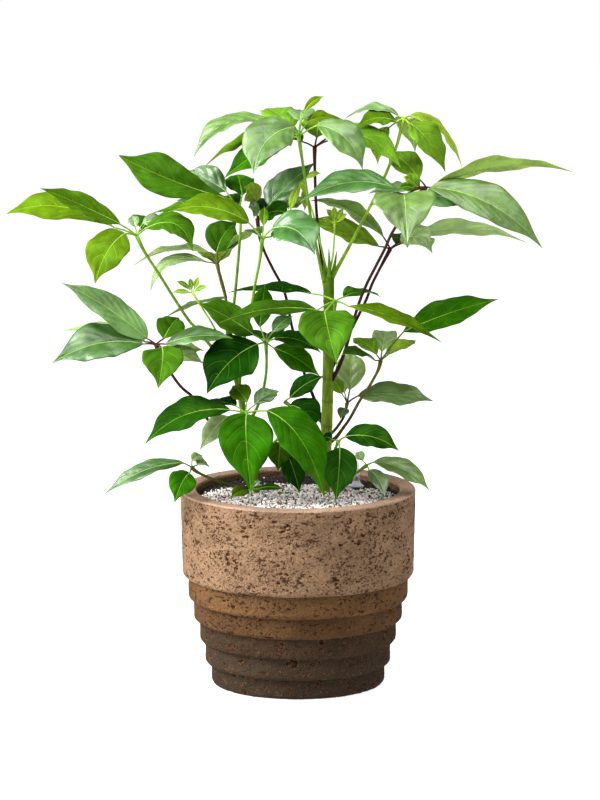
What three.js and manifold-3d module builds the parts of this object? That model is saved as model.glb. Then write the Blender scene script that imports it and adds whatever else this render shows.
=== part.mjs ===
// A potted umbrella plant: two leafy stems in a stepped stone-look planter, with soil,
// a loose stone top dressing and a water gauge.
// Millimetres, +Z up. The origin is on the ground, on the planter's axis.
// The front is at -Y, and +X is to the right of the front view.

import * as THREE from 'three';
import { mergeVertices } from 'three/addons/utils/BufferGeometryUtils.js';
import Module from 'manifold-3d';

const wasm = await Module();
wasm.setup();

// Planter
const RIM_DIAMETER = 354;
const POT_HEIGHT = 297;
const WALL = 24;
const FLOOR = 22;
const BAND_BOTTOM = 165;
const RING_BOTTOMS = [0, 30.5, 64, 97, 129.5];
const RING_RADII = [130.5, 139.5, 148, 157, 165.5];
const BAND_FOOT_RADIUS = 174;
const EDGE_TUCK = 7;
const EDGE_ROUND = 7;
const RIM_ROUND = 3;
const INNER_FLOOR_RADIUS = 106;
const INNER_WAIST_RADIUS = 150;
const POT_SIDES = 32;

// Fill
const SOIL_TOP = 285;
const SOIL_CLEAR = 0.4;
const STONE_DEPTH = 7;
const STONE_CLEAR = 0.3;
const STONE_RADIUS = 150;
const STONE_BACK_CENTRE = -110;
const STONE_BACK_RADIUS = 172;
const STONE_RINGS = 6;
const STONE_SIDES = 28;
const STONE_RELIEF = 2.2;
const STONE_BUMP = 5;
const STONE_SWELL = 9;
const HOLE_CLEAR = 0.5;
const HOLE_SIDES = 16;
const CUT_CLEAR = 20;
const ARC_SIDES = 60;

// Water gauge
const GAUGE_X = 88;
const GAUGE_Y = 22;
const GAUGE_FLANGE_RADIUS = 11.5;
const GAUGE_FLANGE_HEIGHT = 9;
const GAUGE_FLANGE_LIP = 1.5;
const GAUGE_GAP = 0.3;
const GAUGE_STAKE_RADIUS = 5.5;
const GAUGE_STAKE_DEPTH = 58;
const GAUGE_TUBE_RADIUS = 4.6;
const GAUGE_TUBE_WALL = 0.9;
const GAUGE_TUBE_HEIGHT = 44;
const GAUGE_CONE_START = 23;
const GAUGE_CONE_END = 36;
const GAUGE_NECK_RADIUS = 2.5;
const GAUGE_FLOAT_RADIUS = 2.8;
const GAUGE_FLOAT_HEIGHT = 6;
const GAUGE_ROD_RADIUS = 1.1;
const GAUGE_ROD_LENGTH = 46;
const GAUGE_ROD_CLEAR = 0.6;
const GAUGE_SIDES = 12;

// Plant
const MAIN_STEM_RADIUS = 8.8;
const LEFT_STEM_RADIUS = 5.2;
const STEM_DEPTH = 55;
const PETIOLE_RADIUS = 2.7;
const YOUNG_PETIOLE_RADIUS = 1.6;
const STALK_HALF = 1.4;
const STALK_THICKNESS = 2.4;
const PETIOLE_SIDES = 5;
const PETIOLE_STEPS = 3;
const STEM_SIDES = 8;
const STEM_STEPS = 8;
const HUB_SIZE = 1.7;
const STALK_END = 0.75;
const BLADE_THICKNESS = 0.9;
const BLADE_TIP_HALF = 0.5;
const BLADE_EDGE_RISE = 0.1;
const BLADE_WAVE = 0.05;
const WAVES_ALONG = 9;
const WAVE_OFFSET = 2;
const LEAFLET_TURN = 1.7;
const LEAF_TURN = 0.9;
const OUTLINE_SKEW = 0.9;
const OUTLINE_FULLNESS = 0.85;
const TIP_DRAW = 0.4;
const TIP_START = 6;
const TINY_BLADE = 15;
const TINY_STATIONS = [0, 0.45, 1];
const SMALL_BLADE = 47;
const SMALL_STATIONS = [0, 0.3, 0.7, 1];
const LARGE_STATIONS = [0, 0.15, 0.42, 0.75, 1];

// Places on the plant are given as [across, up, back]: mm to the right of the axis, mm up in
// a front view that looks down by VIEW_TILT, and mm behind the axis.
const VIEW_TILT = THREE.MathUtils.degToRad(10.3);

function place([across, up, back]) {
  const height = (up - back * Math.sin(VIEW_TILT)) / Math.cos(VIEW_TILT);
  return new THREE.Vector3(across, back, height);
}

// Each leaf: [petiole points from stem to hub, leaflets].
// Each leaflet: [blade base, tip, width, tilt, side, arch, sway, skew]. Tilt turns the upper face
// from straight up (0) to the front (90), side turns it to the right, and arch and sway move the
// middle of the rib's curve up and across. A skew under 1 moves the widest place to the base, and
// one over 1 to the tip.
const crownLeft = [
  [[42, 586, 0], [28, 650, -6], [18, 702, -8], [8, 770, -10], [1, 816, -10]],
  [
    [[-20, 834, -4], [-155, 787, 6], 54, 16, 0, 52, -34, 1.15],
    [[-16, 826, 20], [-140, 775, 60], 54, 16, 0, 28, 0],
    [[-4, 830, -18], [-65, 757, -100], 72, 62, -14, 28, -24],
    [[-8, 830, 2], [-50, 864, 118], 56, 12, 0, 10, 0],
    [[3, 840, 2], [6, 860, 92], 42, 16, 0, 8, 0],
    [[-12, 812, -8], [-110, 754, -16], 56, 36, -10, 16, 0],
    [[28, 832, -16], [96, 766, -44], 58, 48, 20, 28, 16],
    [[14, 838, 8], [66, 844, 44], 34, 24, 0, 10, 0],
    [[8, 851, 8], [38, 876, 18], 13, 60, 0, 8, -4, 1.2],
  ],
];

const crownCentre = [
  [[43, 592, 2], [36, 634, 18], [31, 672, 26], [27, 717, 32], [25, 777, 38], [25, 802, 40]],
  [
    [[50, 820, 36], [153, 769, -16], 48, 42, 10, 38, 12],
    [[28, 818, 50], [32, 848, 158], 52, 8, 0, 12, 0],
    [[6, 812, 52], [-64, 806, 138], 54, 8, 0, 24, 0],
    [[46, 814, 56], [118, 808, 142], 52, 10, 0, 34, 0],
  ],
];

const crownRight = [
  [[50, 606, 2], [70, 642, 16], [86, 672, 24], [111, 720, 32], [128, 755, 36], [146, 800, 38],
    [158, 845, 40]],
  [
    [[150, 850, 44], [70, 846, 66], 38, 8, 0, 26, 0],
    [[147, 840, 32], [88, 832, 20], 44, 24, 0, 18, 0],
    [[136, 832, 34], [119, 776, 24], 32, 48, -30, 12, -10],
    [[166, 838, 34], [220, 765, 12], 60, 50, 36, 20, 2],
    [[168, 850, 54], [247, 775, 86], 42, 20, 36, 34, 12],
    [[164, 844, 64], [178, 802, 172], 54, 4, 0, 36, 0],
  ],
];

const rightFront = [
  [[48, 450, 0], [62, 476, -8], [73, 507, -16], [88, 560, -24], [100, 592, -27],
    [115, 622, -29], [129, 649, -31], [141, 675, -32], [166, 712, -31], [190, 740, -30]],
  [
    [[199, 740, -24], [408, 765, 6], 62, -28, 0, 40, 0, 0.75],
    [[196, 740, -36], [362, 649, -66], 64, 46, 6, 40, 14, 0.85],
    [[156, 728, -54], [160, 654, -138], 94, 62, 0, 34, 0, 0.65],
    [[190, 730, -20], [259, 716, -34], 38, 56, 8, 2, 0, 0.55],
    [[180, 738, -32], [156, 755, -42], 28, 54, 0, 4, 0],
    [[172, 738, -42], [149, 737, -58], 16, 50, 0, 5, 0],
    [[180, 754, 2], [136, 800, 104], 44, 50, 0, 8, 4],
    [[146, 738, -32], [3, 718, -44], 58, 26, 0, 38, 0],
    [[164, 736, -12], [105, 733, 16], 34, 24, 0, 10, 0],
    [[168, 726, -22], [107, 714, -10], 30, 24, 0, 6, 0],
  ],
];

const rightBack = [
  [[46, 462, 2], [62, 496, 16], [80, 530, 32], [102, 574, 46], [111, 598, 54], [123, 622, 62],
    [139, 652, 70]],
  [
    [[156, 660, 62], [198, 648, 34], 50, 48, 14, 32, 0],
    [[160, 668, 78], [345, 663, 104], 58, 14, 0, 34, 0],
    [[128, 672, 76], [18, 724, 70], 52, -26, 0, 30, 0],
    [[122, 656, 64], [10, 697, 52], 54, 26, 0, 8, 0],
    [[148, 660, 86], [206, 650, 212], 56, 6, 0, 34, 0],
  ],
];

const crownYoung = [
  [[45, 608, 2], [26, 690, 14], [14, 728, 12], [7, 752, 8]],
  [
    [[12, 755, 8], [34, 762, 4], 10, 50, 0, 5, 0],
    [[4, 750, 4], [8, 734, -6], 9, 60, 0, 3, 0],
    [[3, 744, 6], [-12, 704, 2], 13, 60, 0, 3, -4],
    [[9, 742, 10], [10, 706, 14], 12, 60, 0, 3, 2],
  ],
];

const shootYoung = [
  [[46, 608, 0], [52, 640, -8], [54, 668, -12], [55, 690, -14]],
  [
    [[53, 694, -16], [42, 708, -22], 9, 60, 0, 3, 0],
    [[55, 695, -18], [53, 712, -28], 9, 60, 0, 3, 0],
    [[58, 694, -12], [68, 709, -12], 9, 60, 0, 3, 0],
    [[60, 690, -17], [73, 701, -26], 9, 60, 0, 3, 0],
    [[50, 688, -12], [36, 695, -14], 9, 60, 0, 3, 0],
  ],
];

const centreFront = [
  [[47, 500, 0], [53, 545, -28], [56, 572, -45]],
  [
    [[40, 556, -66], [57, 477, -138], 86, 62, 0, 32, -10],
    [[76, 564, -52], [214, 510, -56], 50, 14, 0, 18, 0],
    [[68, 578, -28], [124, 580, 44], 40, 14, 0, 16, 0],
    [[20, 584, -12], [-105, 586, 40], 46, 8, 0, 14, 0],
    [[28, 558, -62], [-117, 539, -60], 46, 22, 0, 22, 0],
  ],
];

const centreBack = [
  [[39, 372, 2], [36, 392, 8], [28, 417, 18], [19, 440, 24], [9, 466, 30], [-8, 530, 40],
    [-20, 586, 48], [-38, 622, 52], [-51, 649, 54], [-58, 672, 55], [-61, 697, 55]],
  [
    [[-62, 722, 40], [-79, 742, 2], 34, 66, -10, 6, 0],
    [[-44, 716, 56], [26, 781, 66], 56, 50, -20, 4, -4, 0.6],
    [[-38, 714, 70], [11, 730, 98], 44, 26, 0, 2, 0],
    [[-52, 700, 46], [-14, 702, 12], 40, 50, 10, 12, 0],
    [[-60, 702, 36], [-74, 712, 14], 26, 60, 0, 6, 0],
    [[-52, 704, 72], [-14, 716, 194], 52, 6, 0, 28, 0],
  ],
];

const rightLow = [
  [[46, 360, 0], [57, 368, 1], [66, 380, 4], [78, 397, 4], [93, 424, 3], [108, 447, 2],
    [120, 469, 1], [124, 483, 0]],
  [
    [[116, 484, -6], [64, 491, -46], 40, 18, 0, 16, 0],
    [[118, 493, 12], [82, 518, 56], 34, 10, 0, 10, 0],
    [[134, 492, 10], [180, 514, 58], 34, 10, 0, 10, 0],
    [[126, 498, 26], [136, 528, 104], 38, 20, 0, 18, 0],
    [[158, 527, 8], [300, 576, 30], 54, 40, 0, 8, 0],
  ],
];

const rightSmall = [
  [[43, 372, 4], [52, 376, 14], [62, 388, 22], [70, 402, 26], [74, 420, 28]],
  [
    [[78, 440, 32], [81, 499, 60], 46, 60, 0, 8, 0],
    [[90, 431, 34], [204, 423, 24], 52, 32, 0, 12, 0],
    [[66, 434, 26], [52, 456, 26], 20, 50, -20, 4, 0],
    [[70, 436, 42], [60, 466, 78], 24, 50, -10, 4, 0],
    [[72, 412, 20], [63, 396, -8], 18, 50, 0, 6, 0],
  ],
];

const lowFront = [
  [[43, 320, 0], [47, 330, -14], [52, 342, -34], [58, 358, -60], [60, 363, -68]],
  [
    [[70, 370, -70], [150, 349, -84], 46, 42, 10, 20, 4],
    [[62, 354, -80], [56, 275, -122], 54, 66, 0, 18, 4],
    [[50, 366, -64], [36, 368, -56], 20, 40, 0, 4, 0],
  ],
];

const lowRight = [
  [[41, 298, 0], [54, 298, -8], [66, 302, -20], [85, 314, -34], [103, 327, -40]],
  [
    [[113, 332, -42], [196, 290, -64], 40, 34, 10, 20, 8],
    [[106, 320, -52], [129, 281, -98], 28, 52, 10, 10, 6],
    [[97, 334, -36], [87, 346, -26], 16, 50, 0, 4, 0],
  ],
];

const lowCentre = [
  [[42, 356, 0], [34, 366, -10], [22, 384, -24], [2, 406, -42], [-20, 422, -52]],
  [
    [[-12, 428, -54], [39, 460, -52], 32, 46, 0, 8, -4],
    [[-12, 416, -60], [22, 376, -84], 54, 54, 20, 20, 10],
    [[-4, 408, -46], [34, 390, -38], 34, -30, 0, 12, 0],
  ],
];

const upperLeft = [
  [[-103, 512, 0], [-99, 540, 8], [-96, 567, 14], [-92, 605, 10], [-88, 650, 10], [-86, 683, 20],
    [-88, 708, 42]],
  [
    [[-99, 725, 46], [-268, 790, 26], 66, 58, 0, -12, -2, 1.6],
    [[-108, 738, 60], [-168, 770, 92], 46, 60, 0, 6, 0],
    [[-84, 732, 62], [-92, 766, 128], 44, 30, 0, 8, 0],
    [[-108, 708, 42], [-182, 724, 50], 48, 24, 0, 8, 0],
    [[-104, 704, 56], [-222, 706, 96], 44, 14, 0, 18, 0],
    [[-90, 718, 66], [-150, 714, 184], 52, 6, 0, 26, 0],
  ],
];

const middleFront = [
  [[-89, 442, 0], [-85, 480, -8], [-80, 518, -12], [-76, 530, -14], [-70, 560, -18],
    [-64, 597, -22], [-57, 631, -26], [-53, 664, -30]],
  [
    [[-73, 688, -34], [-192, 704, -30], 56, 30, 0, 30, 0, 0.75],
    [[-38, 679, -44], [25, 639, -108], 72, 60, 20, 32, 8],
    [[-51, 684, -26], [-50, 712, -14], 15, 60, 0, 4, 0],
    [[-40, 668, -18], [18, 668, 22], 42, 10, 0, 14, 0],
    [[-58, 670, -14], [-74, 676, 20], 30, 12, 0, 10, 0],
  ],
];

const leftBack = [
  [[-104, 515, 0], [-107, 548, 12], [-108, 575, 18], [-116, 604, 26], [-121, 628, 30]],
  [
    [[-122, 646, 38], [-92, 692, 66], 54, 60, 0, 6, -10],
    [[-138, 632, 34], [-222, 587, 48], 26, 28, 0, 44, -30],
    [[-134, 646, 46], [-249, 627, 66], 48, 4, 0, 28, 0],
    [[-108, 646, 44], [-56, 682, 34], 30, -20, 0, 10, 0],
    [[-124, 630, 52], [-128, 640, 166], 52, 6, 0, 22, 0],
    [[-107, 579, 42], [-201, 549, 66], 32, -14, 0, 10, 0],
  ],
];

const farLeft = [
  [[-100, 480, 0], [-116, 492, -8], [-132, 507, -11], [-150, 530, -13], [-162, 542, -14],
    [-184, 575, -16], [-207, 612, -18], [-229, 646, -20], [-240, 669, -20]],
  [
    [[-274, 682, -8], [-436, 703, 22], 60, 38, 0, 42, 0, 1.25],
    [[-264, 686, -28], [-381, 738, -56], 50, 32, 0, 4, 0],
    [[-256, 672, -38], [-300, 596, -92], 66, 60, -14, 22, -8],
    [[-242, 682, -10], [-248, 700, 4], 18, 60, 0, 4, 0],
    [[-226, 680, -22], [-156, 645, -50], 46, 40, 16, 46, 20],
    [[-232, 680, 0], [-212, 690, 126], 52, 6, 0, 24, 0],
    [[-231, 688, -12], [-198, 686, -12], 26, 46, 0, 8, 0],
  ],
];

const leftYoung = [
  [[-100, 486, 0], [-110, 508, -24], [-120, 524, -38], [-132, 545, -44], [-147, 568, -44],
    [-157, 585, -42]],
  [
    [[-160, 589, -40], [-181, 601, -46], 8, 60, 0, 4, 0],
    [[-161, 584, -46], [-187, 584, -56], 8, 60, 0, 4, 0],
    [[-158, 590, -38], [-161, 606, -34], 8, 60, 0, 2, 0],
    [[-154, 590, -42], [-147, 608, -46], 8, 60, 0, 2, 0],
    [[-153, 586, -44], [-134, 593, -52], 8, 60, 0, 4, 0],
  ],
];

const innerLeft = [
  [[-79, 386, 0], [-72, 396, -6], [-66, 404, -12], [-58, 421, -17], [-52, 440, -20],
    [-48, 462, -21], [-47, 485, -21], [-48, 510, -20]],
  [
    [[-60, 508, -38], [-135, 434, -104], 80, 56, -10, 20, -8],
    [[-66, 522, -26], [-148, 568, -52], 52, 46, 0, 8, 0],
    [[-57, 534, -8], [-49, 598, -12], 34, 56, 0, 6, 0],
    [[-38, 526, -10], [-8, 550, 12], 26, 40, 0, 6, 0],
    [[-36, 516, -28], [34, 495, -54], 42, 26, 0, 18, 0],
    [[-36, 502, -26], [32, 461, -16], 42, 48, 0, 10, 0],
    [[-48, 514, 0], [-44, 512, 98], 52, 6, 0, 24, 0],
  ],
];

const lowFrontLeft = [
  [[-70, 326, 0], [-72, 340, -14], [-76, 362, -40], [-79, 388, -78], [-78, 405, -98]],
  [
    [[-76, 404, -108], [-69, 287, -152], 82, 64, 0, 40, -8],
    [[-46, 409, -104], [39, 281, -142], 74, 54, 26, 42, 16],
    [[-100, 410, -104], [-226, 360, -118], 64, 28, 0, 34, -12],
    [[-92, 416, -80], [-146, 420, -28], 42, 10, 0, 8, 0],
    [[-76, 422, -84], [-98, 446, -44], 34, 46, 0, 6, 0],
    [[-64, 418, -86], [-28, 438, -60], 32, 30, 0, 8, 0],
    [[-104, 400, -84], [-146, 350, -84], 34, 40, 0, 12, 0],
  ],
];

const leftLow = [
  [[-65, 310, 0], [-78, 328, -12], [-92, 344, -22], [-116, 370, -36], [-138, 400, -48],
    [-155, 427, -54], [-172, 442, -57], [-184, 457, -59], [-204, 488, -60], [-211, 507, -60]],
  [
    [[-224, 516, -58], [-350, 598, -74], 50, 44, 0, 14, 0, 0.7],
    [[-230, 508, -68], [-364, 479, -98], 70, 40, 0, 30, 0],
    [[-228, 512, -44], [-354, 528, 4], 48, 14, 0, 18, 0],
    [[-202, 503, -76], [-206, 441, -146], 62, 62, 0, 22, 8],
    [[-200, 516, -46], [-178, 548, 0], 44, 50, 0, 8, 0],
    [[-196, 508, -62], [-97, 516, -70], 44, 24, 0, 16, 0],
    [[-198, 500, -50], [-140, 498, -28], 36, 20, 0, 8, 0],
    [[-200, 494, -66], [-139, 478, -66], 32, 34, 0, 14, 0],
  ],
];

const potEdgeLeft = [
  [[-64, 294, 0], [-78, 293, -14], [-95, 295, -36], [-124, 305, -60], [-150, 317, -70],
    [-158, 324, -75]],
  [
    [[-170, 331, -76], [-289, 284, -88], 38, 24, 0, 24, 0],
    [[-161, 316, -88], [-183, 272, -124], 42, 58, 0, 16, 0],
    [[-150, 328, -68], [-134, 327, -40], 26, 46, 0, 8, 0],
    [[-158, 334, -66], [-143, 342, -44], 18, 50, 0, 4, 0],
  ],
];

const lowInner = [
  [[-67, 316, 0], [-58, 332, -6], [-42, 354, -12], [-24, 372, -16]],
  [
    [[-26, 362, -26], [-30, 318, -46], 38, 64, 0, 10, 0],
    [[-16, 344, -34], [3, 285, -60], 36, 62, 0, 10, 0],
    [[-14, 378, -10], [16, 378, 40], 38, 14, 0, 12, 0],
  ],
];

const groundYoung = [
  [[-64, 303, 1], [-68, 297, -24], [-70, 293, -50]],
  [
    [[-73, 289, -58], [-100, 278, -108], 22, 50, 0, 10, 0],
    [[-62, 291, -56], [-20, 291, -68], 12, 50, 0, 8, 0],
    [[-70, 296, -48], [-75, 306, -44], 9, 50, 0, 3, 0],
    [[-66, 295, -52], [-55, 303, -54], 9, 50, 0, 3, 0],
  ],
];

const MAIN_STEM = [[40, 300, 0], [43, 380, 0], [45, 460, 0], [46, 540, 0], [46, 616, 0]];
const LEFT_STEM = [[-64, 300, 0], [-74, 360, 0], [-88, 440, 0], [-101, 492, 0], [-104, 536, 0]];
const MAIN_LEAVES = [crownLeft, crownCentre, crownRight, rightFront, rightBack, centreFront,
  centreBack, rightLow, rightSmall, lowFront, lowRight, lowCentre];
const MAIN_YOUNG = [crownYoung, shootYoung];
const LEFT_LEAVES = [upperLeft, middleFront, leftBack, farLeft, innerLeft, lowFrontLeft, leftLow,
  potEdgeLeft, lowInner];
const LEFT_YOUNG = [leftYoung, groundYoung];

// A closed geometry as a solid, with its faces pointing out.
function solid(geometry) {
  const bare = geometry.index ? geometry.toNonIndexed() : geometry.clone();
  bare.deleteAttribute('normal');
  bare.deleteAttribute('uv');
  const merged = mergeVertices(bare, 1e-4);
  const corners = Array.from(merged.index.array);
  const positions = merged.attributes.position.array;
  const triangles = [];
  for (let i = 0; i < corners.length; i += 3) {
    const [a, b, c] = corners.slice(i, i + 3);
    if (a !== b && b !== c && c !== a) triangles.push(a, b, c);
  }
  const build = (order) => new wasm.Manifold(new wasm.Mesh({
    numProp: 3,
    vertProperties: new Float32Array(positions),
    triVerts: new Uint32Array(order),
  }));
  const made = build(triangles);
  if (made.volume() > 0) return made;
  const turned = [];
  for (let i = 0; i < triangles.length; i += 3) {
    turned.push(triangles[i], triangles[i + 2], triangles[i + 1]);
  }
  return build(turned);
}

function geometryOf(body) {
  const mesh = body.getMesh();
  const geometry = new THREE.BufferGeometry();
  geometry.setAttribute('position', new THREE.BufferAttribute(new Float32Array(mesh.vertProperties), 3));
  geometry.setIndex(new THREE.BufferAttribute(new Uint32Array(mesh.triVerts), 1));
  geometry.computeVertexNormals();
  return geometry;
}

function lathe(profile, sides) {
  const points = profile.map(([radius, height]) => new THREE.Vector2(radius, height));
  const geometry = new THREE.LatheGeometry(points, sides);
  geometry.rotateX(Math.PI / 2);
  return solid(geometry);
}

// A round bar with a vertical axis.
function bar(x, y, radius, bottom, top, sides) {
  const geometry = new THREE.CylinderGeometry(radius, radius, top - bottom, sides);
  geometry.rotateX(Math.PI / 2);
  geometry.translate(x, y, (top + bottom) / 2);
  return solid(geometry);
}

function tube(points, radius, sides, steps) {
  const section = new THREE.Shape();
  for (let i = 0; i < sides; i += 1) {
    const angle = (2 * Math.PI * i) / sides;
    const [x, y] = [radius * Math.cos(angle), radius * Math.sin(angle)];
    if (i === 0) section.moveTo(x, y);
    else section.lineTo(x, y);
  }
  section.closePath();
  const extrudePath = new THREE.CatmullRomCurve3(points);
  return solid(new THREE.ExtrudeGeometry(section, { steps, bevelEnabled: false, extrudePath }));
}

// Half width of a blade along its rib, as a share of the full half width: a rounded base,
// the widest place a little below the middle, and a drawn-out tip.
function outline(along, skew) {
  const body = Math.sin(Math.PI * along ** skew);
  return Math.max(body, 0) ** OUTLINE_FULLNESS * (1 - TIP_DRAW * along ** TIP_START);
}

// One leaflet: a stalk from the hub and a thin blade along its rib, as one closed skin. The blade
// is folded a little at the rib and waved along its edges, and both faces are split alike.
function leaflet(hub, radius, row, turn) {
  const [base, tip, width, tilt, side, arch, sway, skew = OUTLINE_SKEW] = row;
  const from = place(base);
  const to = place(tip);
  const middle = from.clone().lerp(to, 0.5).add(new THREE.Vector3(sway, 0, arch));
  const rib = new THREE.QuadraticBezierCurve3(from, middle, to);
  const tiltAngle = THREE.MathUtils.degToRad(tilt);
  const sideAngle = THREE.MathUtils.degToRad(side);
  const facing = new THREE.Vector3(
    Math.sin(sideAngle),
    -Math.sin(tiltAngle) * Math.cos(sideAngle),
    Math.cos(tiltAngle) * Math.cos(sideAngle),
  );
  const wide = width < SMALL_BLADE ? SMALL_STATIONS : LARGE_STATIONS;
  const stops = width < TINY_BLADE ? TINY_STATIONS : wide;
  const stalkWay = from.clone().sub(hub).normalize();
  const sections = [{
    centre: hub.clone().addScaledVector(stalkWay, radius),
    tangent: stalkWay,
    half: STALK_HALF * STALK_END,
    thick: STALK_THICKNESS * STALK_END,
    rise: [0, 0],
  }];
  for (const along of stops) {
    const body = (width / 2) * outline(along, skew);
    const phase = (edge) => WAVES_ALONG * along + WAVE_OFFSET * edge + turn;
    const wave = (edge) => BLADE_WAVE * Math.sin(phase(edge));
    sections.push({
      centre: rib.getPoint(along),
      tangent: rib.getTangent(along),
      half: Math.max(body, along === 0 ? STALK_HALF : BLADE_TIP_HALF),
      thick: along === 0 ? STALK_THICKNESS : BLADE_THICKNESS,
      rise: [-1, 1].map((edge) => body * (BLADE_EDGE_RISE + wave(edge))),
    });
  }
  const last = sections.length - 1;
  const positions = [];
  for (const { centre, tangent, half, thick, rise } of sections) {
    const normal = facing.clone().addScaledVector(tangent, -facing.dot(tangent)).normalize();
    const across = new THREE.Vector3().crossVectors(tangent, normal);
    for (const [edge, lift] of [[-1, rise[0]], [0, 0], [1, rise[1]]]) {
      for (const face of [0.5, -0.5]) {
        const vertex = centre.clone()
          .addScaledVector(across, edge * half)
          .addScaledVector(normal, lift + face * thick);
        positions.push(...vertex.toArray());
      }
    }
  }
  const at = (station, edge, face) => station * 6 + edge * 2 + face;
  const faces = [];
  const quad = (a, b, c, d) => faces.push(a, b, c, a, c, d);
  for (let i = 0; i < last; i += 1) {
    for (const edge of [0, 1]) {
      quad(at(i, edge, 0), at(i + 1, edge, 0), at(i + 1, edge + 1, 0), at(i, edge + 1, 0));
      faces.push(at(i, edge, 1), at(i + 1, edge + 1, 1), at(i + 1, edge, 1));
      faces.push(at(i, edge, 1), at(i, edge + 1, 1), at(i + 1, edge + 1, 1));
    }
    quad(at(i, 0, 0), at(i, 0, 1), at(i + 1, 0, 1), at(i + 1, 0, 0));
    quad(at(i, 2, 0), at(i + 1, 2, 0), at(i + 1, 2, 1), at(i, 2, 1));
  }
  for (const edge of [0, 1]) {
    quad(at(0, edge, 0), at(0, edge + 1, 0), at(0, edge + 1, 1), at(0, edge, 1));
    quad(at(last, edge, 0), at(last, edge, 1), at(last, edge + 1, 1), at(last, edge + 1, 0));
  }
  const geometry = new THREE.BufferGeometry();
  geometry.setAttribute('position', new THREE.BufferAttribute(new Float32Array(positions), 3));
  geometry.setIndex(faces);
  return solid(geometry);
}

// One compound leaf: its petiole, and leaflets that spread from the hub at its end.
function compoundLeaf([petiole, leaflets], radius, turn) {
  const route = petiole.map(place);
  const hub = route[route.length - 1];
  const knob = new THREE.IcosahedronGeometry(HUB_SIZE * radius);
  knob.translate(hub.x, hub.y, hub.z);
  const steps = Math.max(PETIOLE_STEPS, route.length - 2);
  let leaf = tube(route, radius, PETIOLE_SIDES, steps).add(solid(knob));
  leaflets.forEach((row, index) => {
    leaf = leaf.add(leaflet(hub, radius, row, turn + LEAFLET_TURN * index));
  });
  return leaf;
}

// The largest of the separate skins in a joined body: gaps that joining seals are filled.
function outerSkin(body) {
  return body.decompose().reduce((best, one) => (one.volume() > best.volume() ? one : best));
}

// One leafy stem, rooted straight down in the soil.
function leafyStem(points, radius, leaves, young) {
  const route = points.map(place);
  const foot = new THREE.Vector3(route[0].x, route[0].y, SOIL_TOP - STEM_DEPTH);
  const collar = new THREE.Vector3(route[0].x, route[0].y, SOIL_TOP);
  let stem = tube([foot, collar, ...route], radius, STEM_SIDES, STEM_STEPS);
  leaves.forEach((leaf, index) => {
    stem = stem.add(compoundLeaf(leaf, PETIOLE_RADIUS, LEAF_TURN * index));
  });
  young.forEach((leaf, index) => {
    stem = stem.add(compoundLeaf(leaf, YOUNG_PETIOLE_RADIUS, index));
  });
  return outerSkin(stem);
}

function potProfile() {
  const profile = [[0, 0]];
  RING_RADII.forEach((radius, index) => {
    const bottom = RING_BOTTOMS[index];
    profile.push([radius - EDGE_TUCK, bottom], [radius, bottom + EDGE_ROUND]);
    const top = index + 1 < RING_BOTTOMS.length ? RING_BOTTOMS[index + 1] : BAND_BOTTOM;
    profile.push([radius, top]);
  });
  const rim = RIM_DIAMETER / 2;
  profile.push([BAND_FOOT_RADIUS - EDGE_TUCK, BAND_BOTTOM]);
  profile.push([BAND_FOOT_RADIUS, BAND_BOTTOM + EDGE_ROUND]);
  profile.push([rim, POT_HEIGHT - RIM_ROUND], [rim - RIM_ROUND, POT_HEIGHT]);
  profile.push([rim - WALL + RIM_ROUND, POT_HEIGHT], [rim - WALL, POT_HEIGHT - RIM_ROUND]);
  profile.push([INNER_WAIST_RADIUS, BAND_BOTTOM], [INNER_FLOOR_RADIUS, FLOOR], [0, FLOOR]);
  return profile;
}

function soilProfile() {
  const rimInner = RIM_DIAMETER / 2 - WALL;
  const share = (SOIL_TOP - BAND_BOTTOM) / (POT_HEIGHT - RIM_ROUND - BAND_BOTTOM);
  const topRadius = INNER_WAIST_RADIUS + (rimInner - INNER_WAIST_RADIUS) * share;
  return [
    [0, FLOOR + SOIL_CLEAR],
    [INNER_FLOOR_RADIUS - SOIL_CLEAR, FLOOR + SOIL_CLEAR],
    [INNER_WAIST_RADIUS - SOIL_CLEAR, BAND_BOTTOM],
    [topRadius - SOIL_CLEAR, SOIL_TOP],
    [0, SOIL_TOP],
  ];
}

// The layer of loose stone: a disc with a bumpy top, cut off at the back where soil shows.
function stoneLayer() {
  const bottom = SOIL_TOP + STONE_CLEAR;
  const profile = [[0, bottom], [STONE_RADIUS, bottom]];
  for (let i = 0; i < STONE_RINGS; i += 1) {
    profile.push([STONE_RADIUS * (1 - i / STONE_RINGS), bottom + STONE_DEPTH]);
  }
  profile.push([0, bottom + STONE_DEPTH]);
  const points = profile.map(([radius, height]) => new THREE.Vector2(radius, height));
  const geometry = new THREE.LatheGeometry(points, STONE_SIDES);
  geometry.rotateX(Math.PI / 2);
  const position = geometry.attributes.position;
  for (let i = 0; i < position.count; i += 1) {
    const [x, y, z] = [position.getX(i), position.getY(i), position.getZ(i)];
    if (z > bottom + 1) {
      const short = Math.sin(x / STONE_BUMP + 1.3) * Math.cos(y / STONE_BUMP);
      const long = Math.sin((x + y) / STONE_SWELL);
      position.setZ(i, z + (STONE_RELIEF / 2) * (short + long));
    }
  }
  const [low, high] = [bottom - CUT_CLEAR, bottom + STONE_DEPTH + CUT_CLEAR];
  const cutter = bar(0, STONE_BACK_CENTRE, STONE_BACK_RADIUS, low, high, ARC_SIDES);
  return solid(geometry).intersect(cutter);
}

// The gauge's foot: a flange on the stones and a stake down in the soil, with a blind bore.
const GAUGE_SEAT = SOIL_TOP + STONE_CLEAR + STONE_DEPTH + STONE_RELIEF + GAUGE_GAP;
const GAUGE_TOP = GAUGE_SEAT + GAUGE_FLANGE_HEIGHT;

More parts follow.
